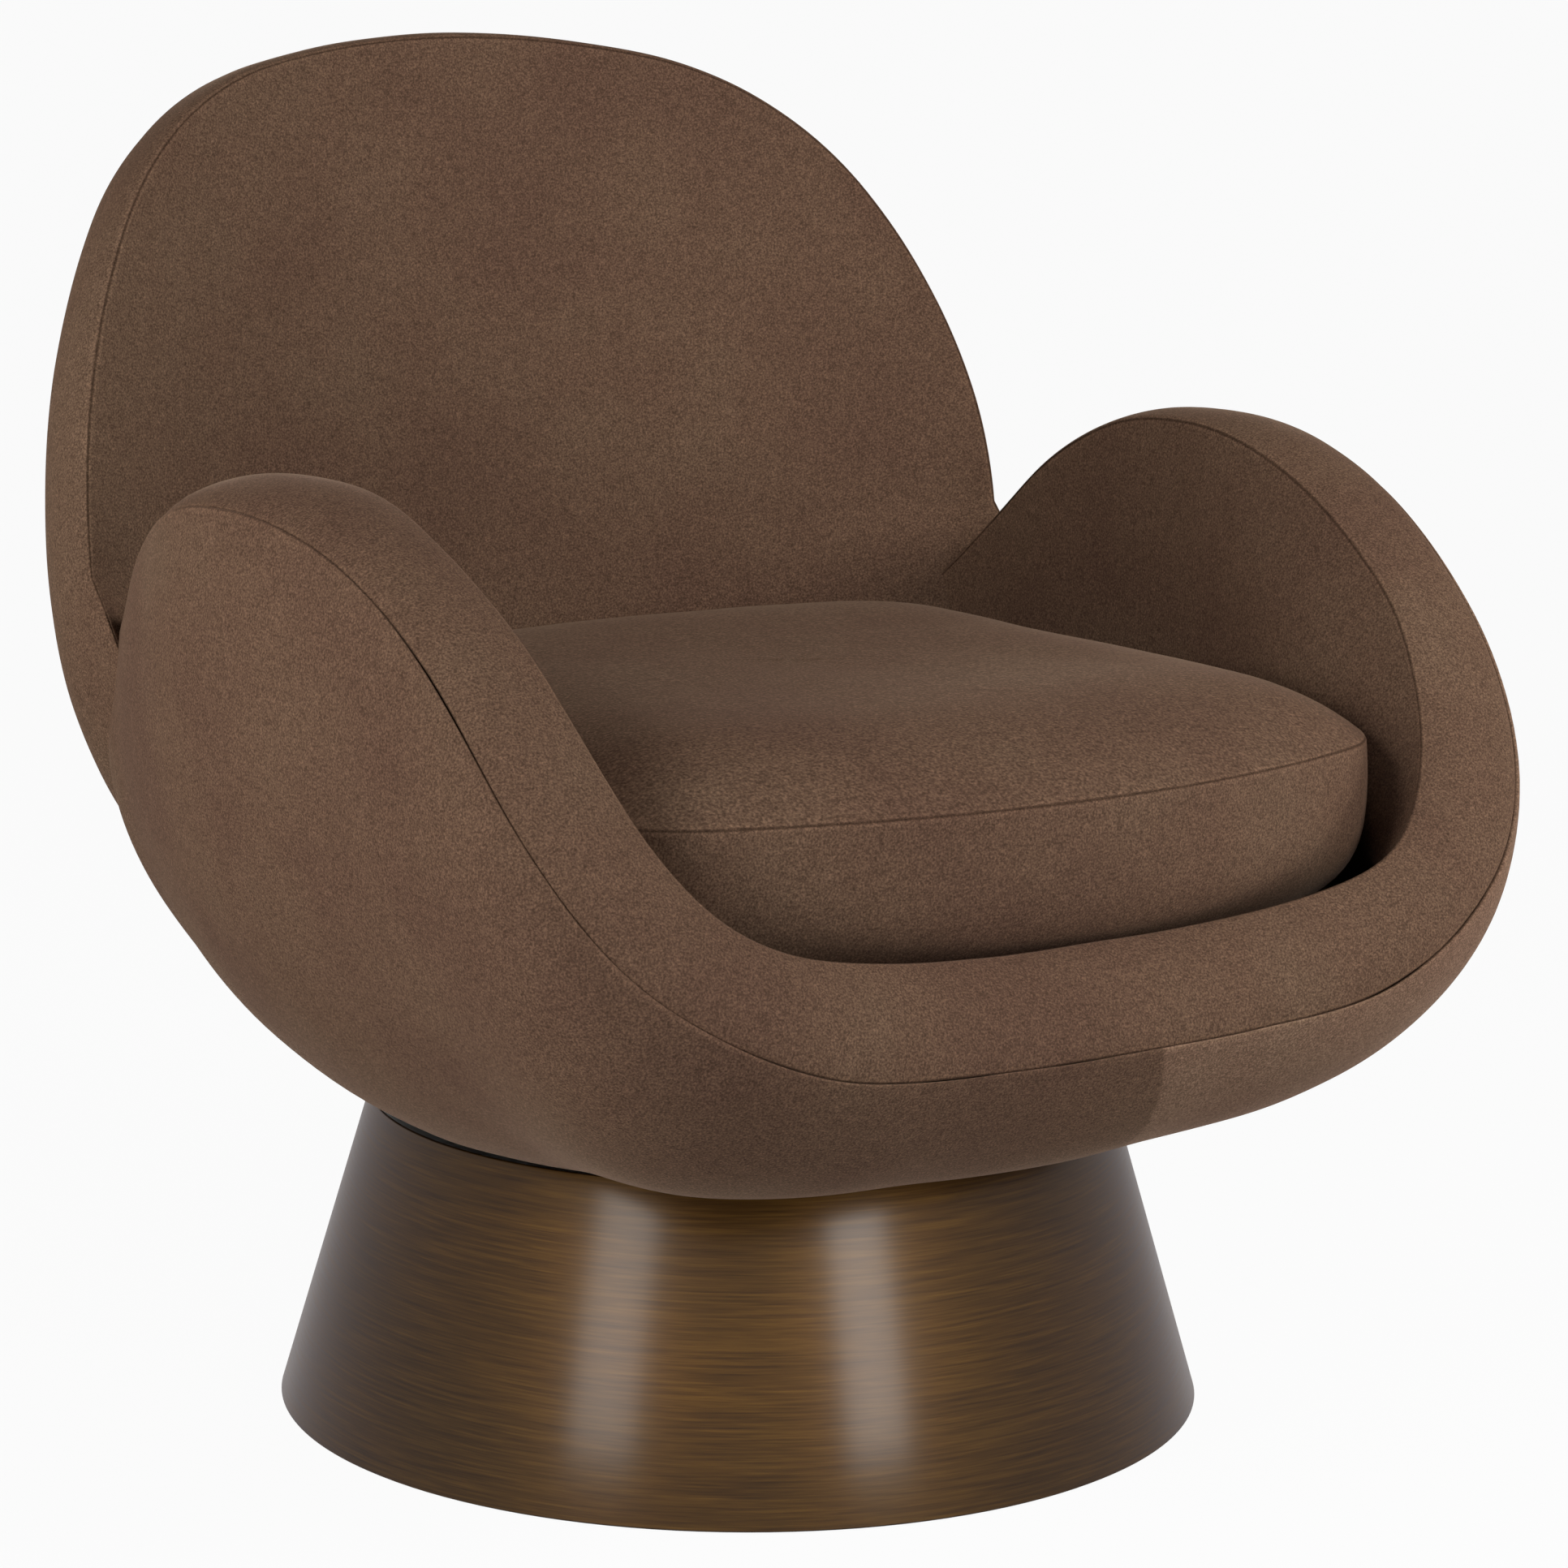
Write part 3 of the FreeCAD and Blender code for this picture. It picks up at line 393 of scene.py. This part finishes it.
def pad_place(share, station):
    """Point of the back's skin: station 0 is the middle of the front, the last the middle of the rear."""
    outline, normal = oval_point(pad_outline, share)
    low = max(0.0, -outline.y / pad_outline["down"])
    wing = pad_wing * (1 - math.exp(-pad_wing_onset * low)) * (outline.x / pad_outline["half_width"]) ** 2
    if station <= pad_face:
        flat = (outline - normal * pad_front_round * (1 - math.sin(pad_seam_turn))) * (station / pad_face)
        depth = -wing * (station / pad_face) ** 3
    elif station < pad_face + pad_front_arc:
        turn = pad_seam_turn + (station - pad_face) / pad_front_round
        depth = pad_front_round * (math.cos(pad_seam_turn) - math.cos(turn)) - wing
        flat = outline - normal * pad_front_round * (1 - math.sin(turn))
    elif station < pad_side_end:
        run = station - pad_face - pad_front_arc
        depth = pad_front_round * math.cos(pad_seam_turn) + run - wing * (1 - run / pad_side)
        flat = outline
    elif station < pad_side_end + pad_rear_arc:
        turn = (station - pad_side_end) / pad_rear_round
        depth = pad_thickness - pad_rear_round * (1 - math.sin(turn))
        flat = outline - normal * pad_rear_round * (1 - math.cos(turn))
    else:
        part = 1 - (station - pad_side_end - pad_rear_arc) / pad_face
        flat = (outline - normal * pad_rear_round) * part
        depth = pad_thickness
    deep = math.sqrt((pad_curve + depth) ** 2 - flat.x ** 2) - pad_curve
    upright = Vector((flat.x, deep, flat.y))
    upright.rotate(Matrix.Rotation(-pad_lean, 3, "X"))
    return upright + Vector((0, pad_front, pad_middle))


pad_marks = [(0.0, False), (pad_seams[0], True), (pad_seams[1], True), (pad_end, False)]
pad_heart = pad_place(0, 0) + Vector((0, pad_thickness / 2, 0))
pad_rows = even_rows(pad_marks, step=0.012)
pad_columns = 280
pad_bm = sewn_grid(pad_columns, pad_rows, pad_place, pad_seams, lambda point: point - pad_heart)
pad_sewn = sewn_points(pad_bm)
back_pad = new_piece("back_pad", soften(pad_bm, softness=0.0010), "seat")
settle(back_pad, pad_sewn, push=0.4, limit=0.003)
draw_seams(back_pad, width=0.0018, depth=0.0012)


# Reach of the painted seam shade and highlight from each seam.
seam_shade_reach = 0.004


def suede_cloth(name, painted_light=None, nap_scale=820.0):
    """Brown cloth with a short brushed nap, with painted shade along its seams and a painted highlight
    just beside them.

    The second argument, if any, gives the share of each point that is painted lighter, as painted light.
    """
    material, tree, bsdf, coords = shader(name)
    drift = grain(tree, coords, (7.0, 7.0, 7.0), 3.0, 0.55)
    mottle = grain(tree, coords, (170.0, 170.0, 170.0), 3.0, 0.6)
    nap = grain(tree, coords, (nap_scale, nap_scale, nap_scale), 2.0, 0.6)
    tone = tones(tree, drift, (
        (0.34, (0.098, 0.055, 0.036)), (0.50, (0.110, 0.064, 0.041)), (0.68, (0.118, 0.072, 0.046))))
    mottle_tone = tones(tree, mottle, ((0.30, (0.88, 0.87, 0.86)), (0.70, (1.10, 1.10, 1.10))))
    nap_tone = tones(tree, nap, (
        (0.28, (0.52, 0.50, 0.48)), (0.50, (0.97, 0.97, 0.97)), (0.72, (1.74, 1.76, 1.76))))
    tone = multiply_tones(tree, tone, mottle_tone)
    tone = multiply_tones(tree, tone, nap_tone)
    # Painted shade along the seams, with a painted highlight just beside them.
    seam = tree.nodes.new("ShaderNodeAttribute")
    seam.attribute_name = "seam_distance"
    near = tree.nodes.new("ShaderNodeMapRange")
    near.inputs["From Max"].default_value = seam_shade_reach
    tree.links.new(seam.outputs["Fac"], near.inputs["Value"])
    painted_seam_shade = tones(tree, near.outputs["Result"], (
        (0.0, (0.42, 0.40, 0.38)), (0.20, (0.70, 0.68, 0.66)),
        (0.38, (1.16, 1.16, 1.15)), (1.0, (1.0, 1.0, 1.0))))
    tone = multiply_tones(tree, tone, painted_seam_shade)
    # Painted light: the share given by the second argument is painted lighter.
    if painted_light:
        painted_light_tone = tones(tree, painted_light(tree, coords, mottle), (
            (0.0, (1.0, 1.0, 1.0)), (1.0, (1.50, 1.54, 1.60))))
        tone = multiply_tones(tree, tone, painted_light_tone)
    tree.links.new(tone, bsdf.inputs["Base Color"])
    bsdf.inputs["Roughness"].default_value = 0.92
    bsdf.inputs["Specular IOR Level"].default_value = 0.06
    bsdf.inputs["Sheen Weight"].default_value = 0.26
    bsdf.inputs["Sheen Roughness"].default_value = 0.25
    bsdf.inputs["Sheen Tint"].default_value = (0.62, 0.45, 0.34, 1)
    relief(tree, bsdf, nap, 0.25, 0.0008)
    return material


suede = suede_cloth("brown_brushed_suede")
back_pad.data.materials.append(suede)
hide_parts("back_foam", "back_front_cover", "back_boxing", "back_rear_cover")


# Bowl
# Foam over plywood, skinned by an outer cover from the underside up to the crisp outer seam,
# a crowned band around the rim, and an inner cover that drops from the inner seam to the seat deck.
bowl_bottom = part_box("bowl_outer_cover")[0].z
bowl_foot = 0.229
bowl_foot_shift = 0.022
bowl_hem = 0.150
deck_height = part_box("bowl_deck_cloth")[1].z
deck_margin = 0.009
deck_hem = 0.040
band_crown = 0.008
# Angle from the front, reach and height of the outer seam, reach and height of the inner seam,
# then the outer cover's slope at its foot and its lean at the seam, in degrees.
rim_stations = [
    (0, 0.366, 0.283, 0.325, 0.337, 4, 24), (14, 0.376, 0.284, 0.335, 0.338, 4, 24),
    (27, 0.407, 0.291, 0.372, 0.348, 0, 22), (33, 0.428, 0.307, 0.395, 0.360, 0, 18),
    (38, 0.444, 0.328, 0.404, 0.381, 1, 11), (43, 0.458, 0.358, 0.405, 0.421, 4, 2),
    (46, 0.461, 0.386, 0.398, 0.452, 6, -4), (50, 0.457, 0.427, 0.386, 0.489, 10, -12),
    (54, 0.442, 0.470, 0.368, 0.515, 14, -16), (58, 0.425, 0.504, 0.354, 0.534, 18, -17),
    (64, 0.406, 0.537, 0.336, 0.555, 21, -15), (72, 0.389, 0.561, 0.317, 0.573, 24, -12),
    (82, 0.380, 0.572, 0.305, 0.580, 26, -10), (94, 0.373, 0.564, 0.301, 0.573, 27, -10),
    (106, 0.367, 0.530, 0.309, 0.541, 25, -10), (116, 0.369, 0.480, 0.330, 0.492, 23, -10),
    (126, 0.379, 0.428, 0.352, 0.438, 23, -9), (140, 0.347, 0.378, 0.324, 0.384, 27, -2),
    (158, 0.304, 0.345, 0.286, 0.349, 36, 8), (180, 0.288, 0.335, 0.270, 0.338, 36, 12)]


def rim_at(angle):
    """Rim values at any angle, on a smooth curve through the stations."""
    turn = abs((angle + 180) % 360 - 180)
    knots = [(-row[0],) + row[1:] for row in rim_stations[2:0:-1]] + rim_stations
    knots += [(360 - row[0],) + row[1:] for row in rim_stations[-2:-4:-1]]
    k = 2
    while k < len(knots) - 3 and knots[k + 1][0] <= turn:
        k += 1
    before, start, end, after = knots[k - 1:k + 3]
    span = end[0] - start[0]
    t = (turn - start[0]) / span
    values = []
    for column in range(1, len(start)):
        leave = (end[column] - before[column]) / (end[0] - before[0]) * span
        arrive = (after[column] - start[column]) / (after[0] - start[0]) * span
        rise = end[column] - start[column]
        bend = leave + arrive - 2 * rise
        values.append(start[column] + t * (leave + t * (rise - leave - bend + t * bend)))
    return values


rim_columns = 480
rim_smoothing = 10
rim_table = [rim_at(-180 + 360 * k / rim_columns) for k in range(rim_columns)]
for _ in range(rim_smoothing):
    neighbours = zip(rim_table[-1:] + rim_table[:-1], rim_table, rim_table[1:] + rim_table[:1])
    rim_table = [[(a + 2 * b + c) / 4 for a, b, c in zip(*rows)] for rows in neighbours]


def rim_row(share):
    """Smoothed rim values at a share of a full turn."""
    return rim_table[round(share * rim_columns) % rim_columns]


def around(share, radius, height):
    """Point at a share of a full turn, from the rear, and at a reach from the swivel axis."""
    turn = 2 * math.pi * share - math.pi
    return Vector((radius * math.sin(turn), -radius * math.cos(turn), height))


def band_frame(share):
    """Direction across the band, its outward normal and its width in one upright section."""
    reach, height, inner_reach, inner_height, _, _ = rim_row(share)
    across = Vector((inner_reach - reach, inner_height - height))
    width = across.length
    across = across / width
    return across, Vector((across.y, -across.x)), width


outer_length = 0.36
seam_roll = 0.0032
seam_tuck = 0.0006
seam_dip = 0.0014
band_valley = 0.0030
valley_width = 0.016
inner_swell = 0.034
inner_swell_angle = 50
inner_swell_spread = 22
inner_swell_drop = 0.09


def outer_place(share, station):
    """Outer cover: station 0 is the hem under the bowl, 1 the foot of the curve and 2 the outer seam."""
    reach, height, _, _, slope, lean = rim_row(share)
    foot = bowl_foot + bowl_foot_shift * math.cos(2 * math.pi * share - math.pi)
    if station < 1:
        return around(share, bowl_hem + (foot - bowl_hem) * station, bowl_bottom)
    t = station - 1
    start = Vector((foot, bowl_bottom))
    end = Vector((reach, height))
    slope = math.radians(slope)
    lean = math.radians(lean)
    pull = (end - start).length / math.cos((math.pi / 2 - lean - slope) / 4) ** 2
    leave = Vector((math.cos(slope), math.sin(slope))) * pull
    arrive = Vector((math.sin(lean), math.cos(lean))) * pull
    rise = end - start
    bend = leave + arrive - 2 * rise
    point = start + t * (leave + t * (rise - leave - bend + t * bend))
    across, normal, _ = band_frame(share)
    roll = max(0.0, 1 - (1 - t) * outer_length / seam_roll) ** 2
    point += across * seam_tuck * roll - normal * band_valley * roll
    return around(share, point.x, point.y)


def band_place(share, station):
    """Band: station 0 is the outer seam and 1 the inner seam."""
    reach, height = rim_row(share)[:2]
    across, normal, width = band_frame(share)
    crown = band_crown * 4 * station * (1 - station)
    valley = band_valley * max(0.0, 1 - station * width / valley_width) ** 2
    tuck = seam_tuck * max(0.0, 1 - station * width / seam_roll) ** 2
    edge = seam_dip * max(0.0, 1 - (1 - station) * width / seam_roll) ** 2
    point = Vector((reach, height)) + across * (width * station + tuck) + normal * (crown - valley - edge)
    return around(share, point.x, point.y)


def inner_place(share, station):
    """Inner cover: station 0 is the inner seam, 1 the corner of the deck and 2 the hem on the deck."""
    _, _, reach, height, _, _ = rim_row(share)
    if station < 1:
        drop = (height - deck_height) * station
        dip = band_frame(share)[1] * seam_dip * max(0.0, 1 - drop / seam_roll) ** 2
        side = math.exp(-((abs(360 * share - 180) - inner_swell_angle) / inner_swell_spread) ** 2)
        full = math.sin(math.pi / 2 * min(1.0, drop / inner_swell_drop))
        reach -= inner_swell * side * full * (1 - station ** 4)
        return around(share, reach - deck_margin * station - dip.x, height - drop - dip.y)
    return around(share, reach - deck_margin - deck_hem * (station - 1), deck_height)


def crowd(rows, ends, size):
    """Rows from 0 to 1 over a strip of about this size, crowded at the sewn ends."""
    places = [k / rows for k in range(rows + 1)]
    for gap in seam_steps:
        places += [gap / size] if 0 in ends else []
        places += [1 - gap / size] if 1 in ends else []
    return sorted(places)


ring_points = 240
pad_ring = [oval_point(pad_outline, k / ring_points) for k in range(ring_points)]
hidden_margin = 0.008


def inside_pad(point):
    """True for a point well inside the back, where the bowl's covers end unseen."""
    upright = point - Vector((0, pad_front, pad_middle))
    upright.rotate(Matrix.Rotation(pad_lean, 3, "X"))
    depth = math.hypot(upright.x, upright.y + pad_curve) - pad_curve
    flat = Vector((upright.x, upright.z))
    edge, normal = min(pad_ring, key=lambda spot: (spot[0] - flat).length_squared)
    if (flat - edge).dot(normal) > -hidden_margin:
        return False
    return hidden_margin < depth < pad_thickness - hidden_margin


def finish_panel(name, bm, cloth, nodes):
    """Make a piece of a cover, without the part that ends inside the back."""
    deep = [f for f in bm.faces if inside_pad(f.calc_center_median())]
    bmesh.ops.delete(bm, geom=deep, context="FACES")
    panel = new_piece(name, bm, "seat")
    panel.data.materials.append(cloth)
    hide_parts(*nodes)


band_length = 0.075
inner_length = 0.19
outer_rows = [0.0, 0.5, 0.92] + [1 + p for p in crowd(44, (1,), outer_length)]
band_rows = crowd(16, (0, 1), band_length)
inner_rows = crowd(18, (0,), inner_length) + [1.25, 1.6, 2.0]
bowl_heart = Vector((0, 0, bowl_bottom + 0.1))
sitter = Vector((0, 0, 0.5))
outer_bm = sewn_grid(rim_columns, outer_rows, outer_place, (2.0,), lambda point: point - bowl_heart)
band_bm = sewn_grid(rim_columns, band_rows, band_place, (0.0, 1.0), lambda point: point - bowl_heart)
inner_bm = sewn_grid(rim_columns, inner_rows, inner_place, (0.0,), lambda point: sitter - point)
soften(outer_bm, softness=0.0012)
soften(band_bm, softness=0.0008)
soften(inner_bm, softness=0.0010)


# Line where the painted light on the outer cover's right front begins, and the width of its soft, mottled
# edge.
lit_line_slope = 0.40
lit_line_start = 0.1366
lit_edge_width = 0.004


def lit_right_front(tree, coords, mottle):
    """Share of the outer cover's right front that is painted lighter, as painted light.

    The lit part begins in front a little right of the middle, on a line that runs out as it drops.
    """
    split = tree.nodes.new("ShaderNodeSeparateXYZ")
    tree.links.new(coords, split.inputs["Vector"])
    line = tree.nodes.new("ShaderNodeMath")
    line.operation = "MULTIPLY_ADD"
    line.inputs[1].default_value = lit_line_slope
    line.inputs[2].default_value = -lit_line_start
    tree.links.new(split.outputs["Z"], line.inputs[0])
    past = tree.nodes.new("ShaderNodeMath")
    past.operation = "ADD"
    tree.links.new(split.outputs["X"], past.inputs[0])
    tree.links.new(line.outputs[0], past.inputs[1])
    mottled_edge = tree.nodes.new("ShaderNodeMath")
    mottled_edge.operation = "MULTIPLY_ADD"
    mottled_edge.inputs[1].default_value = lit_edge_width
    tree.links.new(mottle, mottled_edge.inputs[0])
    tree.links.new(past.outputs[0], mottled_edge.inputs[2])
    share = tree.nodes.new("ShaderNodeMapRange")
    share.interpolation_type = "SMOOTHSTEP"
    share.inputs["From Min"].default_value = 0.0
    share.inputs["From Max"].default_value = lit_edge_width
    tree.links.new(mottled_edge.outputs[0], share.inputs["Value"])
    return share.outputs["Result"]


# The outer cover's right front is painted lighter, as painted light.
outer_suede = suede_cloth("brown_brushed_suede_outer", lit_right_front)
finish_panel("bowl_outer_skin", outer_bm, outer_suede, ("bowl_outer_cover", "bowl_foam"))
finish_panel("bowl_rim_band", band_bm, suede, ("bowl_band",))
finish_panel("bowl_inner_skin", inner_bm, suede, ("bowl_inner_cover",))


# Seat cushion
# A loose foam block in a sewn case: a crowned top panel, a boxing strip and a bottom panel.
# It sits on the deck between the arms, its sides tucked in where it meets the bowl.
cushion_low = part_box("cushion_bottom_panel")[0].z
cushion_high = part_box("cushion_top_panel")[1].z
seam_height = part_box("cushion_top_panel")[0].z
cushion_centre = 0.045
cushion_outline = {"half_width": 0.292, "up": 0.244 + cushion_centre, "down": 0.332 - cushion_centre,
                   "up_radius": 0.660, "down_radius": 0.640, "side_radius": 1.5, "corner": 0.088}
cushion_tuck = 0.040
seam_tuck_share = 0.05
boxing_length = 0.099
top_length = 0.28
crown_run = 0.165
crown_fullness = 3.4


def cushion_place(share, station):
    """Cushion skin: 0 the middle of the underside, 1 its edge, 2 the top seam, 3 the middle of the top."""
    outline, normal = oval_point(cushion_outline, share)
    if station < 1:
        flat = (outline - normal * cushion_tuck) * station
        height = cushion_low
    elif station < 2:
        t = station - 1
        flat = outline - normal * cushion_tuck * ((1 - t) ** 5 + seam_tuck_share * t ** 6)
        height = cushion_low + (seam_height - cushion_low) * t
    else:
        t = station - 2
        edge = outline - normal * cushion_tuck * seam_tuck_share
        flat = edge * (1 - t)
        inset = min(1.0, edge.length * t / crown_run)
        height = seam_height + (cushion_high - seam_height) * (1 - (1 - inset) ** crown_fullness)
    return Vector((flat.x, flat.y - cushion_centre, height))


underside_rows = 12
cushion_columns = 280
cushion_rows = [k / underside_rows for k in range(underside_rows)]
cushion_rows += [1 + p for p in crowd(18, (1,), boxing_length)[:-1]]
cushion_rows += [2 + p for p in crowd(40, (0,), top_length)]
cushion_heart = Vector((0, -cushion_centre, (cushion_low + cushion_high) / 2))
cushion_bm = sewn_grid(
    cushion_columns, cushion_rows, cushion_place, (2.0,), lambda point: point - cushion_heart)
cushion_held = sewn_points(cushion_bm)
cushion_held |= {v.index for v in cushion_bm.verts if v.co.z < cushion_low + 0.002}
cushion = new_piece("seat_cushion", soften(cushion_bm, softness=0.0012), "seat")
settle(cushion, cushion_held, push=0.4, limit=0.003)
draw_seams(cushion, width=0.0018, depth=0.0012)
# The top panel's nap is drawn coarser than the boxing's, so that it still shows at a flat angle.
cushion.data.materials.append(suede)
cushion.data.materials.append(suede_cloth("brown_brushed_suede_top", nap_scale=560.0))
for face in cushion.data.polygons:
    face.material_index = 1 if face.center.z > seam_height + 0.0002 else 0
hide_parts("cushion_core", "cushion_top_panel", "cushion_boxing", "cushion_bottom_panel")


# Studio
# White floor and backdrop. Soft lamps on the left, on the right and in front light the cloth,
# and two tall strips show in the metal. The camera stands where the photo's did.
scene = bpy.context.scene
scene.view_settings.view_transform = "Standard"


def white_to_camera(tree, share):
    """Show plain white to the camera and in reflections, and let the lit surface through for the rest."""
    path = tree.nodes.new("ShaderNodeLightPath")
    seen = tree.nodes.new("ShaderNodeMath")
    seen.operation = "MAXIMUM"
    tree.links.new(path.outputs["Is Camera Ray"], seen.inputs[0])
    tree.links.new(path.outputs["Is Glossy Ray"], seen.inputs[1])
    through = tree.nodes.new("ShaderNodeMath")
    through.operation = "MAXIMUM"
    tree.links.new(seen.outputs[0], through.inputs[0])
    tree.links.new(path.outputs["Is Transmission Ray"], through.inputs[1])
    scaled = tree.nodes.new("ShaderNodeMath")
    scaled.operation = "MULTIPLY"
    scaled.inputs[1].default_value = share
    tree.links.new(through.outputs[0], scaled.inputs[0])
    return scaled.outputs[0]


floor_bm = bmesh.new()
bmesh.ops.create_grid(floor_bm, x_segments=1, y_segments=1, size=40.0)
floor_mesh = bpy.data.meshes.new("studio_floor")
floor_bm.to_mesh(floor_mesh)
floor_bm.free()
floor = bpy.data.objects.new("studio_floor", floor_mesh)
scene.collection.objects.link(floor)
paper, tree, bsdf, coords = shader("white_paper")
bsdf.inputs["Base Color"].default_value = (0.50, 0.50, 0.50, 1)
bsdf.inputs["Roughness"].default_value = 0.9
glow = tree.nodes.new("ShaderNodeEmission")
glow.inputs["Color"].default_value = (1, 1, 1, 1)
blend = tree.nodes.new("ShaderNodeMixShader")
tree.links.new(white_to_camera(tree, 0.95), blend.inputs["Fac"])
tree.links.new(bsdf.outputs["BSDF"], blend.inputs[1])
tree.links.new(glow.outputs["Emission"], blend.inputs[2])
tree.links.new(blend.outputs["Shader"], tree.nodes["Material Output"].inputs["Surface"])
floor.data.materials.append(paper)

world = bpy.data.worlds.new("studio")
world.use_nodes = True
scene.world = world
tree = world.node_tree
ambient = tree.nodes["Background"]
ambient.inputs["Color"].default_value = (1, 1, 1, 1)
ambient.inputs["Strength"].default_value = 0.025
backdrop = tree.nodes.new("ShaderNodeBackground")
backdrop.inputs["Color"].default_value = (1, 1, 1, 1)
blend = tree.nodes.new("ShaderNodeMixShader")
tree.links.new(white_to_camera(tree, 1.0), blend.inputs["Fac"])
tree.links.new(ambient.outputs["Background"], blend.inputs[1])
tree.links.new(backdrop.outputs["Background"], blend.inputs[2])
tree.links.new(blend.outputs["Shader"], tree.nodes["World Output"].inputs["Surface"])


lamp_distance = 2.4
lamp_aim = Vector((0, 0, 0.35))


def softbox(name, lights, azimuth, elevation, width, height, power):
    """Soft lamp that faces the chair and is flagged so that it lights the cloth or shows in the metal."""
    lamp = bpy.data.lights.new(name, "AREA")
    lamp.shape = "RECTANGLE"
    lamp.size = width
    lamp.size_y = height
    lamp.energy = power
    holder = bpy.data.objects.new(name, lamp)
    turn = math.radians(azimuth)
    rise = math.radians(elevation)
    away = Vector((math.sin(turn) * math.cos(rise), -math.cos(turn) * math.cos(rise), math.sin(rise)))
    holder.location = lamp_aim + away * lamp_distance
    holder.rotation_euler = away.to_track_quat("Z", "Y").to_euler()
    holder.visible_diffuse = lights == "cloth"
    holder.visible_glossy = lights == "metal"
    scene.collection.objects.link(holder)


softbox("left_softbox", "cloth", azimuth=-80, elevation=18, width=0.6, height=1.6, power=41)
softbox("left_rim", "cloth", azimuth=-118, elevation=8, width=0.6, height=1.0, power=8)
softbox("right_softbox", "cloth", azimuth=33, elevation=38, width=0.9, height=0.9, power=36)
softbox("right_fill", "cloth", azimuth=56, elevation=4, width=0.7, height=0.7, power=16)
softbox("front_fill", "cloth", azimuth=-4, elevation=16, width=0.8, height=0.8, power=10)
softbox("left_strip", "metal", azimuth=-68, elevation=15, width=0.70, height=1.9, power=46)
softbox("front_strip", "metal", azimuth=-2, elevation=15, width=0.65, height=1.9, power=54)

camera_turn = math.radians(-36.0)
camera_rise = math.radians(10.771)
camera_roll = math.radians(0.627)
camera_distance = 2.9261
camera_aim = Vector((0, 0, 0.3735))
camera_shift = 0.02405
away = Vector((math.sin(camera_turn) * math.cos(camera_rise),
               -math.cos(camera_turn) * math.cos(camera_rise), math.sin(camera_rise)))
level = Vector((math.cos(camera_turn), math.sin(camera_turn), 0))
upward = away.cross(level)
right = level * math.cos(camera_roll) + upward * math.sin(camera_roll)
above = upward * math.cos(camera_roll) - level * math.sin(camera_roll)
photo_pixels = 1932
focal_pixels = 6000
lens = bpy.data.cameras.new("photo_camera")
lens.sensor_width = 36.0
lens.lens = lens.sensor_width * focal_pixels / photo_pixels
camera = bpy.data.objects.new("photo_camera", lens)
place = Matrix((right, above, away)).transposed().to_4x4()
place.translation = camera_aim + level * camera_shift + away * camera_distance
camera.matrix_world = place
scene.collection.objects.link(camera)
scene.camera = camera
